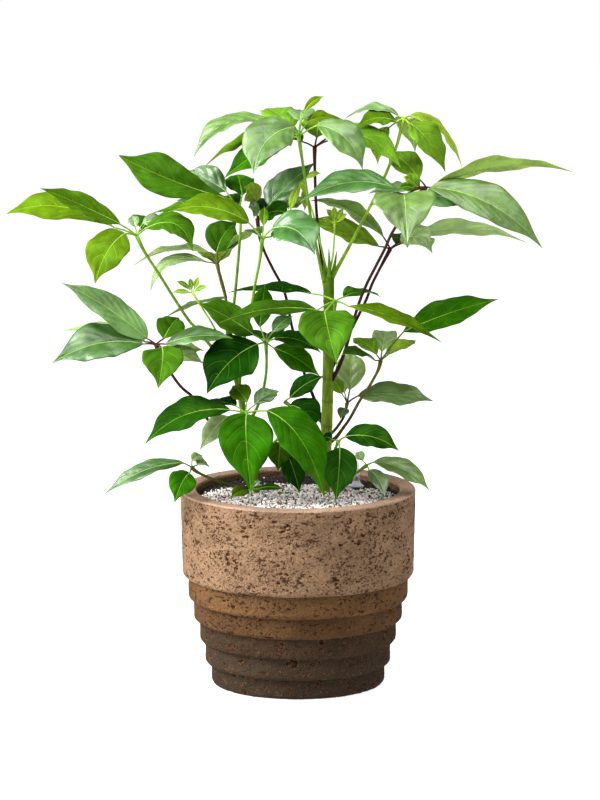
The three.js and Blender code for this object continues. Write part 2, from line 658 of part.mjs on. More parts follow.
function gaugeFoot() {
  const bore = GAUGE_ROD_RADIUS + GAUGE_ROD_CLEAR;
  const bottom = SOIL_TOP - GAUGE_STAKE_DEPTH;
  const boreEnd = GAUGE_TOP - GAUGE_ROD_LENGTH - GAUGE_ROD_CLEAR;
  return lathe([
    [0, bottom],
    [GAUGE_STAKE_RADIUS, bottom],
    [GAUGE_STAKE_RADIUS, GAUGE_SEAT],
    [GAUGE_FLANGE_RADIUS, GAUGE_SEAT],
    [GAUGE_FLANGE_RADIUS, GAUGE_SEAT + GAUGE_FLANGE_LIP],
    [GAUGE_TUBE_RADIUS, GAUGE_TOP],
    [bore, GAUGE_TOP],
    [bore, boreEnd],
    [0, boreEnd],
  ], GAUGE_SIDES);
}

function gaugeTube() {
  const bottom = GAUGE_TOP + GAUGE_GAP;
  const inner = GAUGE_TUBE_RADIUS - GAUGE_TUBE_WALL;
  const innerNeck = GAUGE_NECK_RADIUS - GAUGE_TUBE_WALL;
  return lathe([
    [inner, bottom],
    [GAUGE_TUBE_RADIUS, bottom],
    [GAUGE_TUBE_RADIUS, bottom + GAUGE_CONE_START],
    [GAUGE_NECK_RADIUS, bottom + GAUGE_CONE_END],
    [GAUGE_NECK_RADIUS, bottom + GAUGE_TUBE_HEIGHT],
    [0, bottom + GAUGE_TUBE_HEIGHT],
    [0, bottom + GAUGE_TUBE_HEIGHT - GAUGE_TUBE_WALL],
    [innerNeck, bottom + GAUGE_TUBE_HEIGHT - GAUGE_TUBE_WALL],
    [innerNeck, bottom + GAUGE_CONE_END],
    [inner, bottom + GAUGE_CONE_START],
    [inner, bottom],
  ], GAUGE_SIDES);
}

function gaugeFloat() {
  const seat = GAUGE_TOP + GAUGE_GAP;
  return lathe([
    [0, seat - GAUGE_ROD_LENGTH],
    [GAUGE_ROD_RADIUS, seat - GAUGE_ROD_LENGTH],
    [GAUGE_ROD_RADIUS, seat],
    [GAUGE_FLOAT_RADIUS, seat],
    [GAUGE_FLOAT_RADIUS, seat + GAUGE_FLOAT_HEIGHT],
    [0, seat + GAUGE_FLOAT_HEIGHT],
  ], GAUGE_SIDES);
}

const mainStem = leafyStem(MAIN_STEM, MAIN_STEM_RADIUS, MAIN_LEAVES, MAIN_YOUNG);
const leftStem = leafyStem(LEFT_STEM, LEFT_STEM_RADIUS, LEFT_LEAVES, LEFT_YOUNG);

// Plain holes in the soil and the stone for the two stems and the gauge's stake.
const PLANTED = [
  [MAIN_STEM[0][0], MAIN_STEM[0][2], MAIN_STEM_RADIUS, STEM_DEPTH],
  [LEFT_STEM[0][0], LEFT_STEM[0][2], LEFT_STEM_RADIUS, STEM_DEPTH],
  [GAUGE_X, GAUGE_Y, GAUGE_STAKE_RADIUS, GAUGE_STAKE_DEPTH],
];
let soil = lathe(soilProfile(), POT_SIDES);
let stones = stoneLayer();
for (const [x, y, radius, depth] of PLANTED) {
  const bottom = SOIL_TOP - depth - HOLE_CLEAR;
  const hole = bar(x, y, radius + HOLE_CLEAR, bottom, SOIL_TOP + CUT_CLEAR, HOLE_SIDES);
  soil = soil.subtract(hole);
  stones = stones.subtract(hole);
}

const FINISHES = {
  pot: { color: 0x8f6f52, roughness: 0.95 },
  soil: { color: 0x2c1f17, roughness: 1 },
  stone: { color: 0xcfc8bf, roughness: 0.9 },
  mainStem: { color: 0x3f8a2c, roughness: 0.45 },
  leftStem: { color: 0x4b9a34, roughness: 0.45 },
  foot: { color: 0x2a2a2c, roughness: 0.5 },
  clear: { color: 0xe8eef0, roughness: 0.1 },
  float: { color: 0xd8431d, roughness: 0.4 },
};

const plant = new THREE.Group();

function addPiece(name, body, finish, x = 0, y = 0) {
  const material = new THREE.MeshStandardMaterial({ metalness: 0, ...finish });
  const mesh = new THREE.Mesh(geometryOf(body), material);
  mesh.name = name;
  mesh.position.set(x, y, 0);
  plant.add(mesh);
}

addPiece('pot', lathe(potProfile(), POT_SIDES), FINISHES.pot);
addPiece('soil', soil, FINISHES.soil);
addPiece('stone_layer', stones, FINISHES.stone);
addPiece('leafy_stem_main', mainStem, FINISHES.mainStem);
addPiece('leafy_stem_left', leftStem, FINISHES.leftStem);
addPiece('gauge_foot', gaugeFoot(), FINISHES.foot, GAUGE_X, GAUGE_Y);
addPiece('gauge_tube', gaugeTube(), FINISHES.clear, GAUGE_X, GAUGE_Y);
addPiece('gauge_float', gaugeFloat(), FINISHES.float, GAUGE_X, GAUGE_Y);

export default plant;
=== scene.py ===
# A potted umbrella plant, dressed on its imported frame.
# Lengths are in millimetres, in the frame of the solids, and the scene is in metres. So are
# the sizes of the view, the floor and the lamps.
import math
import bpy
import numpy as np
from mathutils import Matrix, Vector


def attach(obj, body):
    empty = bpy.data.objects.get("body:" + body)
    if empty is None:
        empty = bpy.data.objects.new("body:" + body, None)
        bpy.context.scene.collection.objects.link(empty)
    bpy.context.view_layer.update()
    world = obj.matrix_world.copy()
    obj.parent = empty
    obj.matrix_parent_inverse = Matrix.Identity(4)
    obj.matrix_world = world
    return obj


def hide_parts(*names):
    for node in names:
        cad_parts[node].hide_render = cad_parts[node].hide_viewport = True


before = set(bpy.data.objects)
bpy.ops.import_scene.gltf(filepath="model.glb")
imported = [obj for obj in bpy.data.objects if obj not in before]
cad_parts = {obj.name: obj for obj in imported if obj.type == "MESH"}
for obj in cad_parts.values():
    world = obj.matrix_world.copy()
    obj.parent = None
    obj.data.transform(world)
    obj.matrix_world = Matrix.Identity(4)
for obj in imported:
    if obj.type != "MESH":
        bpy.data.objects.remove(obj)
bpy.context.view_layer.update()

MM = 0.001
VIEW_TILT = math.radians(10.3)
VIEW_CENTRE = (3, 424.5, 0)
VIEW_HEIGHT = 1.2
CAMERA_DISTANCE = 8.0
SENSOR = 36

RINGS_SEED, BAND_SEED, STONE_SEED, SOIL_SEED, STEM_SEED = 11, 12, 5, 9, 3
FULL_TURN = 2 * math.pi

# Planter, as in the solids
RIM_DIAMETER = 354
POT_HEIGHT = 297
WALL = 24
FLOOR = 22
BAND_BOTTOM = 165
RING_BOTTOMS = [0, 30.5, 64, 97, 129.5]
RING_RADII = [130.5, 139.5, 148, 157, 165.5]
BAND_FOOT = 174
TUCK = 7
LIP = 3
WAIST = 150
INNER_FOOT = 106
ARC_POINTS = 9
LIP_POINTS = 6
POT_SIDES = 700
POT_STEP = 1.45
# a row of the planter is on ring 0 to 4, counted from the bottom, or on one of these
BAND, RIM, INSIDE = 5, 6, 7
# the rings darken toward the bottom: partly their own darker colour, partly painted shade
POT_TONES = [(47, 37, 28), (51, 41, 31), (52, 40, 28), (74, 52, 32), (87, 62, 38),
             (117, 92, 70), (140, 115, 96), (96, 72, 54)]
# trails and single pits on each 330 mm of the outer profile, whose mean radius is 165 mm,
# and the share of the trails that run nearly level
PIT_TRAILS = 210
PIT_SINGLES = 800
PIT_REACH = 330
MEAN_RADIUS = 165
LEVEL_SHARE = 0.72
# tones of worn edges, which are partly painted highlight, of the painted highlight on the lips of
# pits, and of the painted shade in their depths
WORN_AND_LIT_TONE = (158, 110, 72)
LIP_HIGHLIGHT_TONE = (150, 98, 58)
PIT_SHADE_TONE = (24, 15, 9)
# uneven form and tone: height, number around, climb, phase
FORM_WAVES = [(0.5, 3, 0.03, 0), (0.4, 11, 0.07, 0), (0.3, 23, -0.19, 0), (0.25, 41, 0.31, 0)]
TONE_WAVES = [(0.06, 2, 0, 1), (0.05, 5, 0.05, 0), (0.05, 9, -0.11, 0)]

# Fill
SOIL_TOP = 285
SOIL_RADIUS = 152.2
SOIL_TONE = (18, 12, 10)
CRUMBS = 5200
CRUMB_TONE = (20, 13, 10)
SPECK_TONE = (205, 198, 190)
STONE_TOP = 292.3
STONE_RADIUS = 150
STONE_BACK_CENTRE = -110
STONE_BACK_RADIUS = 172
STONE_PITCH = 3.3
LOOSE_STONES = 220
BED_RINGS = 30
BED_SIDES = 90
BED_TONE = (58, 46, 40)
CLEARANCE = 0.4
WHITE_SHARE = 0.06
# holes for the two stems and the gauge: x, y, radius
HOLES = [(40, 0, 9.3), (-64, 0, 5.7), (88, 22, 6)]
GRAINS = [(240, 234, 229), (228, 212, 205), (192, 203, 214), (150, 112, 96), (96, 62, 52),
          (48, 38, 38)]
GRAIN_SHARES = [0.52, 0.14, 0.08, 0.09, 0.11, 0.06]

GAUGE_X = 88
GAUGE_Y = 22
GAUGE_SEAT = 294.8

# Leaf tones, upper face, and which of them shine
GLOSSY = "btpqew"
TONES = {
    "k": (11, 46, 2), "d": (20, 56, 4), "m": (35, 63, 7), "s": (32, 76, 2), "g": (45, 82, 9),
    "o": (56, 86, 7), "y": (69, 95, 7), "L": (84, 119, 26), "Y": (115, 143, 41),
    "b": (43, 76, 22), "t": (50, 91, 32), "p": (73, 102, 41), "q": (82, 115, 58),
    "e": (65, 87, 48), "w": (115, 141, 78),
}
UNDER = (124, 154, 78)
# tones of the petioles at the foot and at the hub
STALKS = {
    "green": ((84, 116, 26), (98, 136, 36)),
    "lime": ((104, 142, 24), (134, 168, 46)),
    "purple": ((34, 13, 13), (58, 30, 22)),
    "brown": ((66, 50, 26), (80, 84, 32)),
}
# tones of the stems at the foot, at the top and on the leaf scars
STEM_TONES = [(112, 132, 38), (56, 86, 4), (52, 44, 18)]
BLADE = 0.8
BLADE_SKEW = 0.9  # under 1, a blade is widest nearer its base
FULL_WIDTH = 50  # from this width on, a blade has its full relief and mesh
TIP_NARROW = 0.4
CROWN = 0.16  # how far each half arches, for its width
QUILT = 0.55  # swells between the side veins
VEIN_PITCH = 23  # of the side veins, along the blade
NERVE_SINK = 0.7  # of the midrib's tube, under the middle of the blade
NERVE_END = 0.93
NERVE_SIDES = 6
PETIOLE_RADIUS = 2.35
YOUNG_RADIUS = 1.5
PETIOLE_SIDES = 10
STEM_SIDES = 20
STEM_SAMPLES = 120
STEM_FOOT = (250, 285)
LEAFLET_TURN = 1.7
LEAF_SEEDS = 31
# the order of GREENS
UPPER_SLOT, LOWER_SLOT, STALK_SLOT, GLOSS_SLOT = 0, 1, 2, 3
# name, roughness, specular level, vein tint, vein share, vein rise, painted bands of light and
# shade between the veins, painted sheen, painted sheen tint
LEAF_SKINS = [
    ("leaf_satin", 0.44, 0.012, (120, 152, 40), 0.5, -0.35, 0.16, 0.16, (104, 164, 44)),
    ("leaf_gloss", 0.36, 0.5, (140, 168, 90), 0.2, -0.35, 0.2, 0.24, (150, 190, 130)),
    ("leaf_lower", 0.65, 0.1, (150, 172, 96), 0.4, 0.3, 0.06, 0.1, (104, 164, 44)),
]

FLOOR_COLOR = (0.35, 0.35, 0.35)
FLOOR_GLOW = 0.84
FLOOR_REACH = 30
SKY_STRENGTH = 0.36
# name, place, target, width, height, power
LAMPS = [
    ("key", (-3.2, -1.2, 2.9), (0, 0, 0.45), 2.6, 2.6, 560),
    ("top", (0.2, -1.3, 3.7), (0, 0, 0.5), 2.8, 2.8, 150),
    ("left", (-3.4, -0.7, 0.4), (0, 0, 0.1), 1.2, 0.8, 52),
    ("right", (3.4, -0.2, 0.6), (0, 0, 0.15), 1.2, 0.8, 40),
]

# Points are [across, up, back]: mm right of the axis, mm up in the front view, mm behind it.
# Each stem: name, route, radius, heights of its leaf scars, stipules at its top.
MAIN_ROUTE = [[40, 300, 0], [43, 380, 0], [45, 460, 0], [46, 540, 0], [46, 616, 0]]
LEFT_ROUTE = [[-64, 300, 0], [-74, 360, 0], [-88, 440, 0], [-101, 492, 0], [-104, 536, 0]]
STEMS = [
    ("main", MAIN_ROUTE, 8.5, [326, 366, 392, 430, 466, 506, 540, 582], [
        ((46, 600, -5), (46, 652, -10), 4.2, (78, 114, 14)),
        ((50, 604, -4), (58, 648, -6), 3.8, (70, 104, 12)),
        ((40, 600, -4), (38, 634, -8), 3.4, (64, 92, 12)),
    ]),
    ("left", LEFT_ROUTE, 5.0, [322, 352, 398, 448, 490], [
        ((-104, 526, -2), (-108, 548, -6), 2.6, (84, 114, 22)),
    ]),
]

# Each leaf: name, stem, young, stalk, turn, petiole from stem to hub, leaflets.
# Each leaflet: tone, blade base, tip, width, tilt, arch, then side, sway and skew where they
# aren't 0, 0 and BLADE_SKEW.
LEAVES = [
    ("crown_left", "main", False, "green", 0.0, [
        [42, 586, 0], [28, 650, -6], [18, 702, -8], [8, 770, -10], [1, 816, -10],
    ], [
        ["p", [-20, 834, -4], [-155, 787, 6], 54, 16, 52, 0, -34, 1.15],
        ["o", [-16, 826, 20], [-140, 775, 60], 54, 16, 28],
        ["p", [-4, 830, -18], [-65, 757, -100], 72, 62, 28, -14, -24],
        ["L", [-8, 830, 2], [-50, 864, 118], 56, 12, 10],
        ["q", [3, 840, 2], [6, 860, 92], 42, 16, 8],
        ["s", [-12, 812, -8], [-110, 754, -16], 56, 36, 16, -10],
        ["p", [28, 832, -16], [96, 766, -44], 58, 48, 28, 20, 16],
        ["y", [14, 838, 8], [66, 844, 44], 34, 24, 10],
        ["y", [8, 851, 8], [38, 876, 18], 13, 60, 8, 0, -4, 1.2],
    ]),
    ("crown_centre", "main", False, "purple", 0.9, [
        [43, 592, 2], [36, 634, 18], [31, 672, 26], [27, 717, 32], [25, 777, 38], [25, 802, 40],
    ], [
        ["L", [50, 820, 36], [153, 769, -16], 48, 42, 38, 10, 12],
        ["L", [28, 818, 50], [32, 848, 158], 52, 8, 12],
        ["o", [6, 812, 52], [-64, 806, 138], 54, 8, 24],
        ["o", [46, 814, 56], [118, 808, 142], 52, 10, 34],
    ]),
    ("crown_right", "main", False, "lime", 1.8, [
        [50, 606, 2], [70, 642, 16], [86, 672, 24], [111, 720, 32], [128, 755, 36], [146, 800, 38],
        [158, 845, 40],
    ], [
        ["q", [150, 850, 44], [70, 846, 66], 38, 8, 26],
        ["o", [147, 840, 32], [88, 832, 20], 44, 24, 18],
        ["Y", [136, 832, 34], [119, 776, 24], 32, 48, 12, -30, -10],
        ["L", [166, 838, 34], [220, 765, 12], 60, 50, 20, 36, 2],
        ["Y", [168, 850, 54], [247, 775, 86], 42, 20, 34, 36, 12],
        ["Y", [164, 844, 64], [178, 802, 172], 54, 4, 36],
    ]),
    ("right_front", "main", False, "purple", 2.7, [
        [48, 450, 0], [62, 476, -8], [73, 507, -16], [88, 560, -24], [100, 592, -27],
        [115, 622, -29], [129, 649, -31], [141, 675, -32], [166, 712, -31], [190, 740, -30],
    ], [
        ["Y", [199, 740, -24], [408, 765, 6], 62, -28, 40, 0, 0, 0.75],
        ["p", [196, 740, -36], [362, 649, -66], 64, 46, 40, 6, 14, 0.85],
        ["p", [156, 728, -54], [160, 654, -138], 94, 62, 34, 0, 0, 0.65],
        ["t", [190, 730, -20], [259, 716, -34], 38, 56, 2, 8, 0, 0.55],
        ["L", [180, 738, -32], [156, 755, -42], 28, 54, 4],
        ["g", [172, 738, -42], [149, 737, -58], 16, 50, 5],
        ["L", [180, 754, 2], [136, 800, 104], 44, 50, 8, 0, 4],
        ["t", [146, 738, -32], [3, 718, -44], 58, 26, 38],
        ["q", [164, 736, -12], [105, 733, 16], 34, 24, 10],
        ["q", [168, 726, -22], [107, 714, -10], 30, 24, 6],
    ]),
    ("right_back", "main", False, "purple", 3.6, [
        [46, 462, 2], [62, 496, 16], [80, 530, 32], [102, 574, 46], [111, 598, 54], [123, 622, 62],
        [139, 652, 70],
    ], [
        ["w", [156, 660, 62], [198, 648, 34], 50, 48, 32, 14],
        ["w", [160, 668, 78], [345, 663, 104], 58, 14, 34],
        ["s", [128, 672, 76], [18, 724, 70], 52, -26, 30],
        ["Y", [122, 656, 64], [10, 697, 52], 54, 26, 8],
        ["d", [148, 660, 86], [206, 650, 212], 56, 6, 34],
    ]),
    ("centre_front", "main", False, "green", 4.5, [
        [47, 500, 0], [53, 545, -28], [56, 572, -45],
    ], [
        ["g", [40, 556, -66], [57, 477, -138], 86, 62, 32, 0, -10],
        ["y", [76, 564, -52], [214, 510, -56], 50, 14, 18],
        ["s", [68, 578, -28], [124, 580, 44], 40, 14, 16],
        ["k", [20, 584, -12], [-105, 586, 40], 46, 8, 14],
        ["m", [28, 558, -62], [-117, 539, -60], 46, 22, 22],
    ]),
    ("centre_back", "main", False, "purple", 5.4, [
        [39, 372, 2], [36, 392, 8], [28, 417, 18], [19, 440, 24], [9, 466, 30], [-8, 530, 40],
        [-20, 586, 48], [-38, 622, 52], [-51, 649, 54], [-58, 672, 55], [-61, 697, 55],
    ], [
        ["Y", [-62, 722, 40], [-79, 742, 2], 34, 66, 6, -10],
        ["t", [-44, 716, 56], [26, 781, 66], 56, 50, 4, -20, -4, 0.6],
        ["w", [-38, 714, 70], [11, 730, 98], 44, 26, 2],
        ["d", [-52, 700, 46], [-14, 702, 12], 40, 50, 12, 10],
        ["w", [-60, 702, 36], [-74, 712, 14], 26, 60, 6],
        ["k", [-52, 704, 72], [-14, 716, 194], 52, 6, 28],
    ]),
    ("right_low", "main", False, "brown", 6.3, [
        [46, 360, 0], [57, 368, 1], [66, 380, 4], [78, 397, 4], [93, 424, 3], [108, 447, 2],
        [120, 469, 1], [124, 483, 0],
    ], [
        ["m", [116, 484, -6], [64, 491, -46], 40, 18, 16],
        ["L", [118, 493, 12], [82, 518, 56], 34, 10, 10],
        ["Y", [134, 492, 10], [180, 514, 58], 34, 10, 10],
        ["w", [126, 498, 26], [136, 528, 104], 38, 20, 18],
        ["s", [158, 527, 8], [300, 576, 30], 54, 40, 8],
    ]),
    ("right_small", "main", False, "brown", 7.2, [
        [43, 372, 4], [52, 376, 14], [62, 388, 22], [70, 402, 26], [74, 420, 28],
    ], [
        ["w", [78, 440, 32], [81, 499, 60], 46, 60, 8],
        ["p", [90, 431, 34], [204, 423, 24], 52, 32, 12],
        ["L", [66, 434, 26], [52, 456, 26], 20, 50, 4, -20],
        ["q", [70, 436, 42], [60, 466, 78], 24, 50, 4, -10],
        ["e", [72, 412, 20], [63, 396, -8], 18, 50, 6],
    ]),
    ("low_front", "main", False, "green", 8.1, [
        [43, 320, 0], [47, 330, -14], [52, 342, -34], [58, 358, -60], [60, 363, -68],
    ], [
        ["k", [70, 370, -70], [150, 349, -84], 46, 42, 20, 10, 4],
        ["d", [62, 354, -80], [56, 275, -122], 54, 66, 18, 0, 4],
        ["k", [50, 366, -64], [36, 368, -56], 20, 40, 4],
    ]),
    ("low_right", "main", False, "green", 9.0, [
        [41, 298, 0], [54, 298, -8], [66, 302, -20], [85, 314, -34], [103, 327, -40],
    ], [
        ["p", [113, 332, -42], [196, 290, -64], 40, 34, 20, 10, 8],
        ["e", [106, 320, -52], [129, 281, -98], 28, 52, 10, 10, 6],
        ["w", [97, 334, -36], [87, 346, -26], 16, 50, 4],
    ]),
    ("low_centre", "main", False, "green", 9.9, [
        [42, 356, 0], [34, 366, -10], [22, 384, -24], [2, 406, -42], [-20, 422, -52],
    ], [
        ["k", [-12, 428, -54], [39, 460, -52], 32, 46, 8, 0, -4],
        ["k", [-12, 416, -60], [22, 376, -84], 54, 54, 20, 20, 10],
        ["b", [-4, 408, -46], [34, 390, -38], 34, -30, 12],
    ]),
    ("crown_young", "main", True, "lime", 0, [
        [45, 608, 2], [26, 690, 14], [14, 728, 12], [7, 752, 8],
    ], [
        ["Y", [12, 755, 8], [34, 762, 4], 10, 50, 5],
        ["Y", [4, 750, 4], [8, 734, -6], 9, 60, 3],
        ["Y", [3, 744, 6], [-12, 704, 2], 13, 60, 3, 0, -4],
        ["Y", [9, 742, 10], [10, 706, 14], 12, 60, 3, 0, 2],
    ]),
    ("shoot_young", "main", True, "lime", 1, [
        [46, 608, 0], [52, 640, -8], [54, 668, -12], [55, 690, -14],
    ], [
        ["Y", [53, 694, -16], [42, 708, -22], 9, 60, 3],
        ["Y", [55, 695, -18], [53, 712, -28], 9, 60, 3],
        ["Y", [58, 694, -12], [68, 709, -12], 9, 60, 3],
        ["Y", [60, 690, -17], [73, 701, -26], 9, 60, 3],
        ["Y", [50, 688, -12], [36, 695, -14], 9, 60, 3],
    ]),
    ("upper_left", "left", False, "green", 0.0, [
        [-103, 512, 0], [-99, 540, 8], [-96, 567, 14], [-92, 605, 10], [-88, 650, 10],
        [-86, 683, 20], [-88, 708, 42],
    ], [
        ["g", [-99, 725, 46], [-268, 790, 26], 66, 58, -12, 0, -2, 1.6],
        ["b", [-108, 738, 60], [-168, 770, 92], 46, 60, 6],
        ["s", [-84, 732, 62], [-92, 766, 128], 44, 30, 8],
        ["q", [-108, 708, 42], [-182, 724, 50], 48, 24, 8],
        ["g", [-104, 704, 56], [-222, 706, 96], 44, 14, 18],
        ["s", [-90, 718, 66], [-150, 714, 184], 52, 6, 26],
    ]),
    ("middle_front", "left", False, "green", 0.9, [
        [-89, 442, 0], [-85, 480, -8], [-80, 518, -12], [-76, 530, -14], [-70, 560, -18],
        [-64, 597, -22], [-57, 631, -26], [-53, 664, -30],
    ], [
        ["y", [-73, 688, -34], [-192, 704, -30], 56, 30, 30, 0, 0, 0.75],
        ["t", [-38, 679, -44], [25, 639, -108], 72, 60, 32, 20, 8],
        ["o", [-51, 684, -26], [-50, 712, -14], 15, 60, 4],
        ["g", [-40, 668, -18], [18, 668, 22], 42, 10, 14],
        ["p", [-58, 670, -14], [-74, 676, 20], 30, 12, 10],
    ]),
    ("left_back", "left", False, "brown", 1.8, [
        [-104, 515, 0], [-107, 548, 12], [-108, 575, 18], [-116, 604, 26], [-121, 628, 30],
    ], [
        ["g", [-122, 646, 38], [-92, 692, 66], 54, 60, 6, 0, -10],
        ["w", [-138, 632, 34], [-222, 587, 48], 26, 28, 44, 0, -30],
        ["w", [-134, 646, 46], [-249, 627, 66], 48, 4, 28],
        ["w", [-108, 646, 44], [-56, 682, 34], 30, -20, 10],
        ["Y", [-124, 630, 52], [-128, 640, 166], 52, 6, 22],
        ["q", [-107, 579, 42], [-201, 549, 66], 32, -14, 10],
    ]),
    ("far_left", "left", False, "green", 2.7, [
        [-100, 480, 0], [-116, 492, -8], [-132, 507, -11], [-150, 530, -13], [-162, 542, -14],
        [-184, 575, -16], [-207, 612, -18], [-229, 646, -20], [-240, 669, -20],
    ], [
        ["y", [-274, 682, -8], [-436, 703, 22], 60, 38, 42, 0, 0, 1.25],
        ["o", [-264, 686, -28], [-381, 738, -56], 50, 32, 4],
        ["y", [-256, 672, -38], [-300, 596, -92], 66, 60, 22, -14, -8],
        ["p", [-242, 682, -10], [-248, 700, 4], 18, 60, 4],
        ["g", [-226, 680, -22], [-156, 645, -50], 46, 40, 46, 16, 20],
        ["g", [-232, 680, 0], [-212, 690, 126], 52, 6, 24],
        ["e", [-231, 688, -12], [-198, 686, -12], 26, 46, 8],
    ]),
    ("inner_left", "left", False, "green", 3.6, [
        [-79, 386, 0], [-72, 396, -6], [-66, 404, -12], [-58, 421, -17], [-52, 440, -20],
        [-48, 462, -21], [-47, 485, -21], [-48, 510, -20],
    ], [
        ["k", [-60, 508, -38], [-135, 434, -104], 80, 56, 20, -10, -8],
        ["g", [-66, 522, -26], [-148, 568, -52], 52, 46, 8],
        ["s", [-57, 534, -8], [-49, 598, -12], 34, 56, 6],
        ["t", [-38, 526, -10], [-8, 550, 12], 26, 40, 6],
        ["d", [-36, 516, -28], [34, 495, -54], 42, 26, 18],
        ["s", [-36, 502, -26], [32, 461, -16], 42, 48, 10],
        ["d", [-48, 514, 0], [-44, 512, 98], 52, 6, 24],
    ]),
    ("low_front_left", "left", False, "green", 4.5, [
        [-70, 326, 0], [-72, 340, -14], [-76, 362, -40], [-79, 388, -78], [-78, 405, -98],
    ], [
        ["s", [-76, 404, -108], [-69, 287, -152], 82, 64, 40, 0, -8],
        ["s", [-46, 409, -104], [39, 281, -142], 74, 54, 42, 26, 16],
        ["d", [-100, 410, -104], [-226, 360, -118], 64, 28, 34, 0, -12],
        ["k", [-92, 416, -80], [-146, 420, -28], 42, 10, 8],
        ["o", [-76, 422, -84], [-98, 446, -44], 34, 46, 6],
        ["b", [-64, 418, -86], [-28, 438, -60], 32, 30, 8],
        ["w", [-104, 400, -84], [-146, 350, -84], 34, 40, 12],
    ]),
    ("left_low", "left", False, "purple", 5.4, [
        [-65, 310, 0], [-78, 328, -12], [-92, 344, -22], [-116, 370, -36], [-138, 400, -48],
        [-155, 427, -54], [-172, 442, -57], [-184, 457, -59], [-204, 488, -60], [-211, 507, -60],
    ], [
        ["q", [-224, 516, -58], [-350, 598, -74], 50, 44, 14, 0, 0, 0.7],
        ["b", [-230, 508, -68], [-364, 479, -98], 70, 40, 30],
        ["w", [-228, 512, -44], [-354, 528, 4], 48, 14, 18],
        ["g", [-202, 503, -76], [-206, 441, -146], 62, 62, 22, 0, 8],
        ["g", [-200, 516, -46], [-178, 548, 0], 44, 50, 8],
        ["b", [-196, 508, -62], [-97, 516, -70], 44, 24, 16],
        ["w", [-198, 500, -50], [-140, 498, -28], 36, 20, 8],
        ["w", [-200, 494, -66], [-139, 478, -66], 32, 34, 14],
    ]),
    ("pot_edge_left", "left", False, "brown", 6.3, [
        [-64, 294, 0], [-78, 293, -14], [-95, 295, -36], [-124, 305, -60], [-150, 317, -70],
        [-158, 324, -75],
    ], [
        ["b", [-170, 331, -76], [-289, 284, -88], 38, 24, 24],
        ["s", [-161, 316, -88], [-183, 272, -124], 42, 58, 16],
        ["w", [-150, 328, -68], [-134, 327, -40], 26, 46, 8],
        ["w", [-158, 334, -66], [-143, 342, -44], 18, 50, 4],
    ]),
    ("low_inner", "left", False, "green", 7.2, [
        [-67, 316, 0], [-58, 332, -6], [-42, 354, -12], [-24, 372, -16],
    ], [
        ["m", [-26, 362, -26], [-30, 318, -46], 38, 64, 10],
        ["k", [-16, 344, -34], [3, 285, -60], 36, 62, 10],
        ["d", [-14, 378, -10], [16, 378, 40], 38, 14, 12],
    ]),
    ("left_young", "left", True, "lime", 0, [
        [-100, 486, 0], [-110, 508, -24], [-120, 524, -38], [-132, 545, -44], [-147, 568, -44],
        [-157, 585, -42],
    ], [
        ["L", [-160, 589, -40], [-181, 601, -46], 8, 60, 4],
        ["Y", [-161, 584, -46], [-187, 584, -56], 8, 60, 4],
        ["L", [-158, 590, -38], [-161, 606, -34], 8, 60, 2],
        ["Y", [-154, 590, -42], [-147, 608, -46], 8, 60, 2],
        ["L", [-153, 586, -44], [-134, 593, -52], 8, 60, 4],
    ]),
    ("ground_young", "left", True, "green", 1, [
        [-64, 303, 1], [-68, 297, -24], [-70, 293, -50],
    ], [
        ["o", [-73, 289, -58], [-100, 278, -108], 22, 50, 10],
        ["d", [-62, 291, -56], [-20, 291, -68], 12, 50, 8],
        ["e", [-70, 296, -48], [-75, 306, -44], 9, 50, 3],
        ["e", [-66, 295, -52], [-55, 303, -54], 9, 50, 3],
    ]),
]


def clamp01(x):
    return np.clip(x, 0.0, 1.0)


def smooth(x, low, high):
    t = clamp01((x - low) / (high - low))
    return t * t * (3 - 2 * t)


def linear(color):
    """The linear values of a colour given in screen values from 0 to 255."""
    c = np.array(color, float) / 255
    return np.where(c <= 0.04045, c / 12.92, ((c + 0.055) / 1.055) ** 2.4)


def place(point):
    across, up, back = point
    height = (up - back * math.sin(VIEW_TILT)) / math.cos(VIEW_TILT)
    return np.array([across, back, height], float)


def unit(v):
    return v / np.maximum(np.linalg.norm(v, axis=-1, keepdims=True), 1e-9)


def around(count):
    return np.linspace(0, FULL_TURN, count, endpoint=False)


def link(name, data):
    """A new object in the scene."""
    obj = bpy.data.objects.new(name, data)
    bpy.context.scene.collection.objects.link(obj)
    return obj


def stack(x, y, z):
    return np.stack(np.broadcast_arrays(x, y, z), -1)


class Build:
    """Collects vertices in mm, faces, and a colour and numbers for each vertex."""

    def __init__(self):
        self.points, self.faces, self.slots = [], [], []
        self.fields = {}
        self.count = 0

    def add(self, points, faces, slot=0, **fields):
        self.points.append(points)
        if isinstance(faces, np.ndarray):
            self.faces.extend((faces + self.count).tolist())
        else:
            self.faces.extend([v + self.count for v in face] for face in faces)
        self.slots.extend(slot if isinstance(slot, list) else [slot] * len(faces))
        for key, value in fields.items():
            self.fields.setdefault(key, []).append(value)
        self.count += len(points)

    def piece(self, name, materials, body, replaced, flat=False):
        mesh = bpy.data.meshes.new(name)
        points = np.concatenate(self.points) * MM
        mesh.from_pydata(points.tolist(), [], self.faces)
        for key, parts in self.fields.items():
            data = np.concatenate([np.asarray(p, np.float32) for p in parts])
            if data.ndim == 2:
                layer = mesh.attributes.new(key, "FLOAT_COLOR", "POINT")
                rgba = np.ones((len(data), 4), np.float32)
                rgba[:, :3] = data
                layer.data.foreach_set("color", rgba.ravel())
            else:
                layer = mesh.attributes.new(key, "FLOAT", "POINT")
                layer.data.foreach_set("value", data)
        for material in materials:
            mesh.materials.append(material)
        mesh.polygons.foreach_set("material_index", self.slots)
        mesh.polygons.foreach_set("use_smooth", [not flat] * len(mesh.polygons))
        mesh.update()
        obj = link(name, mesh)
        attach(obj, body)
        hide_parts(*replaced)


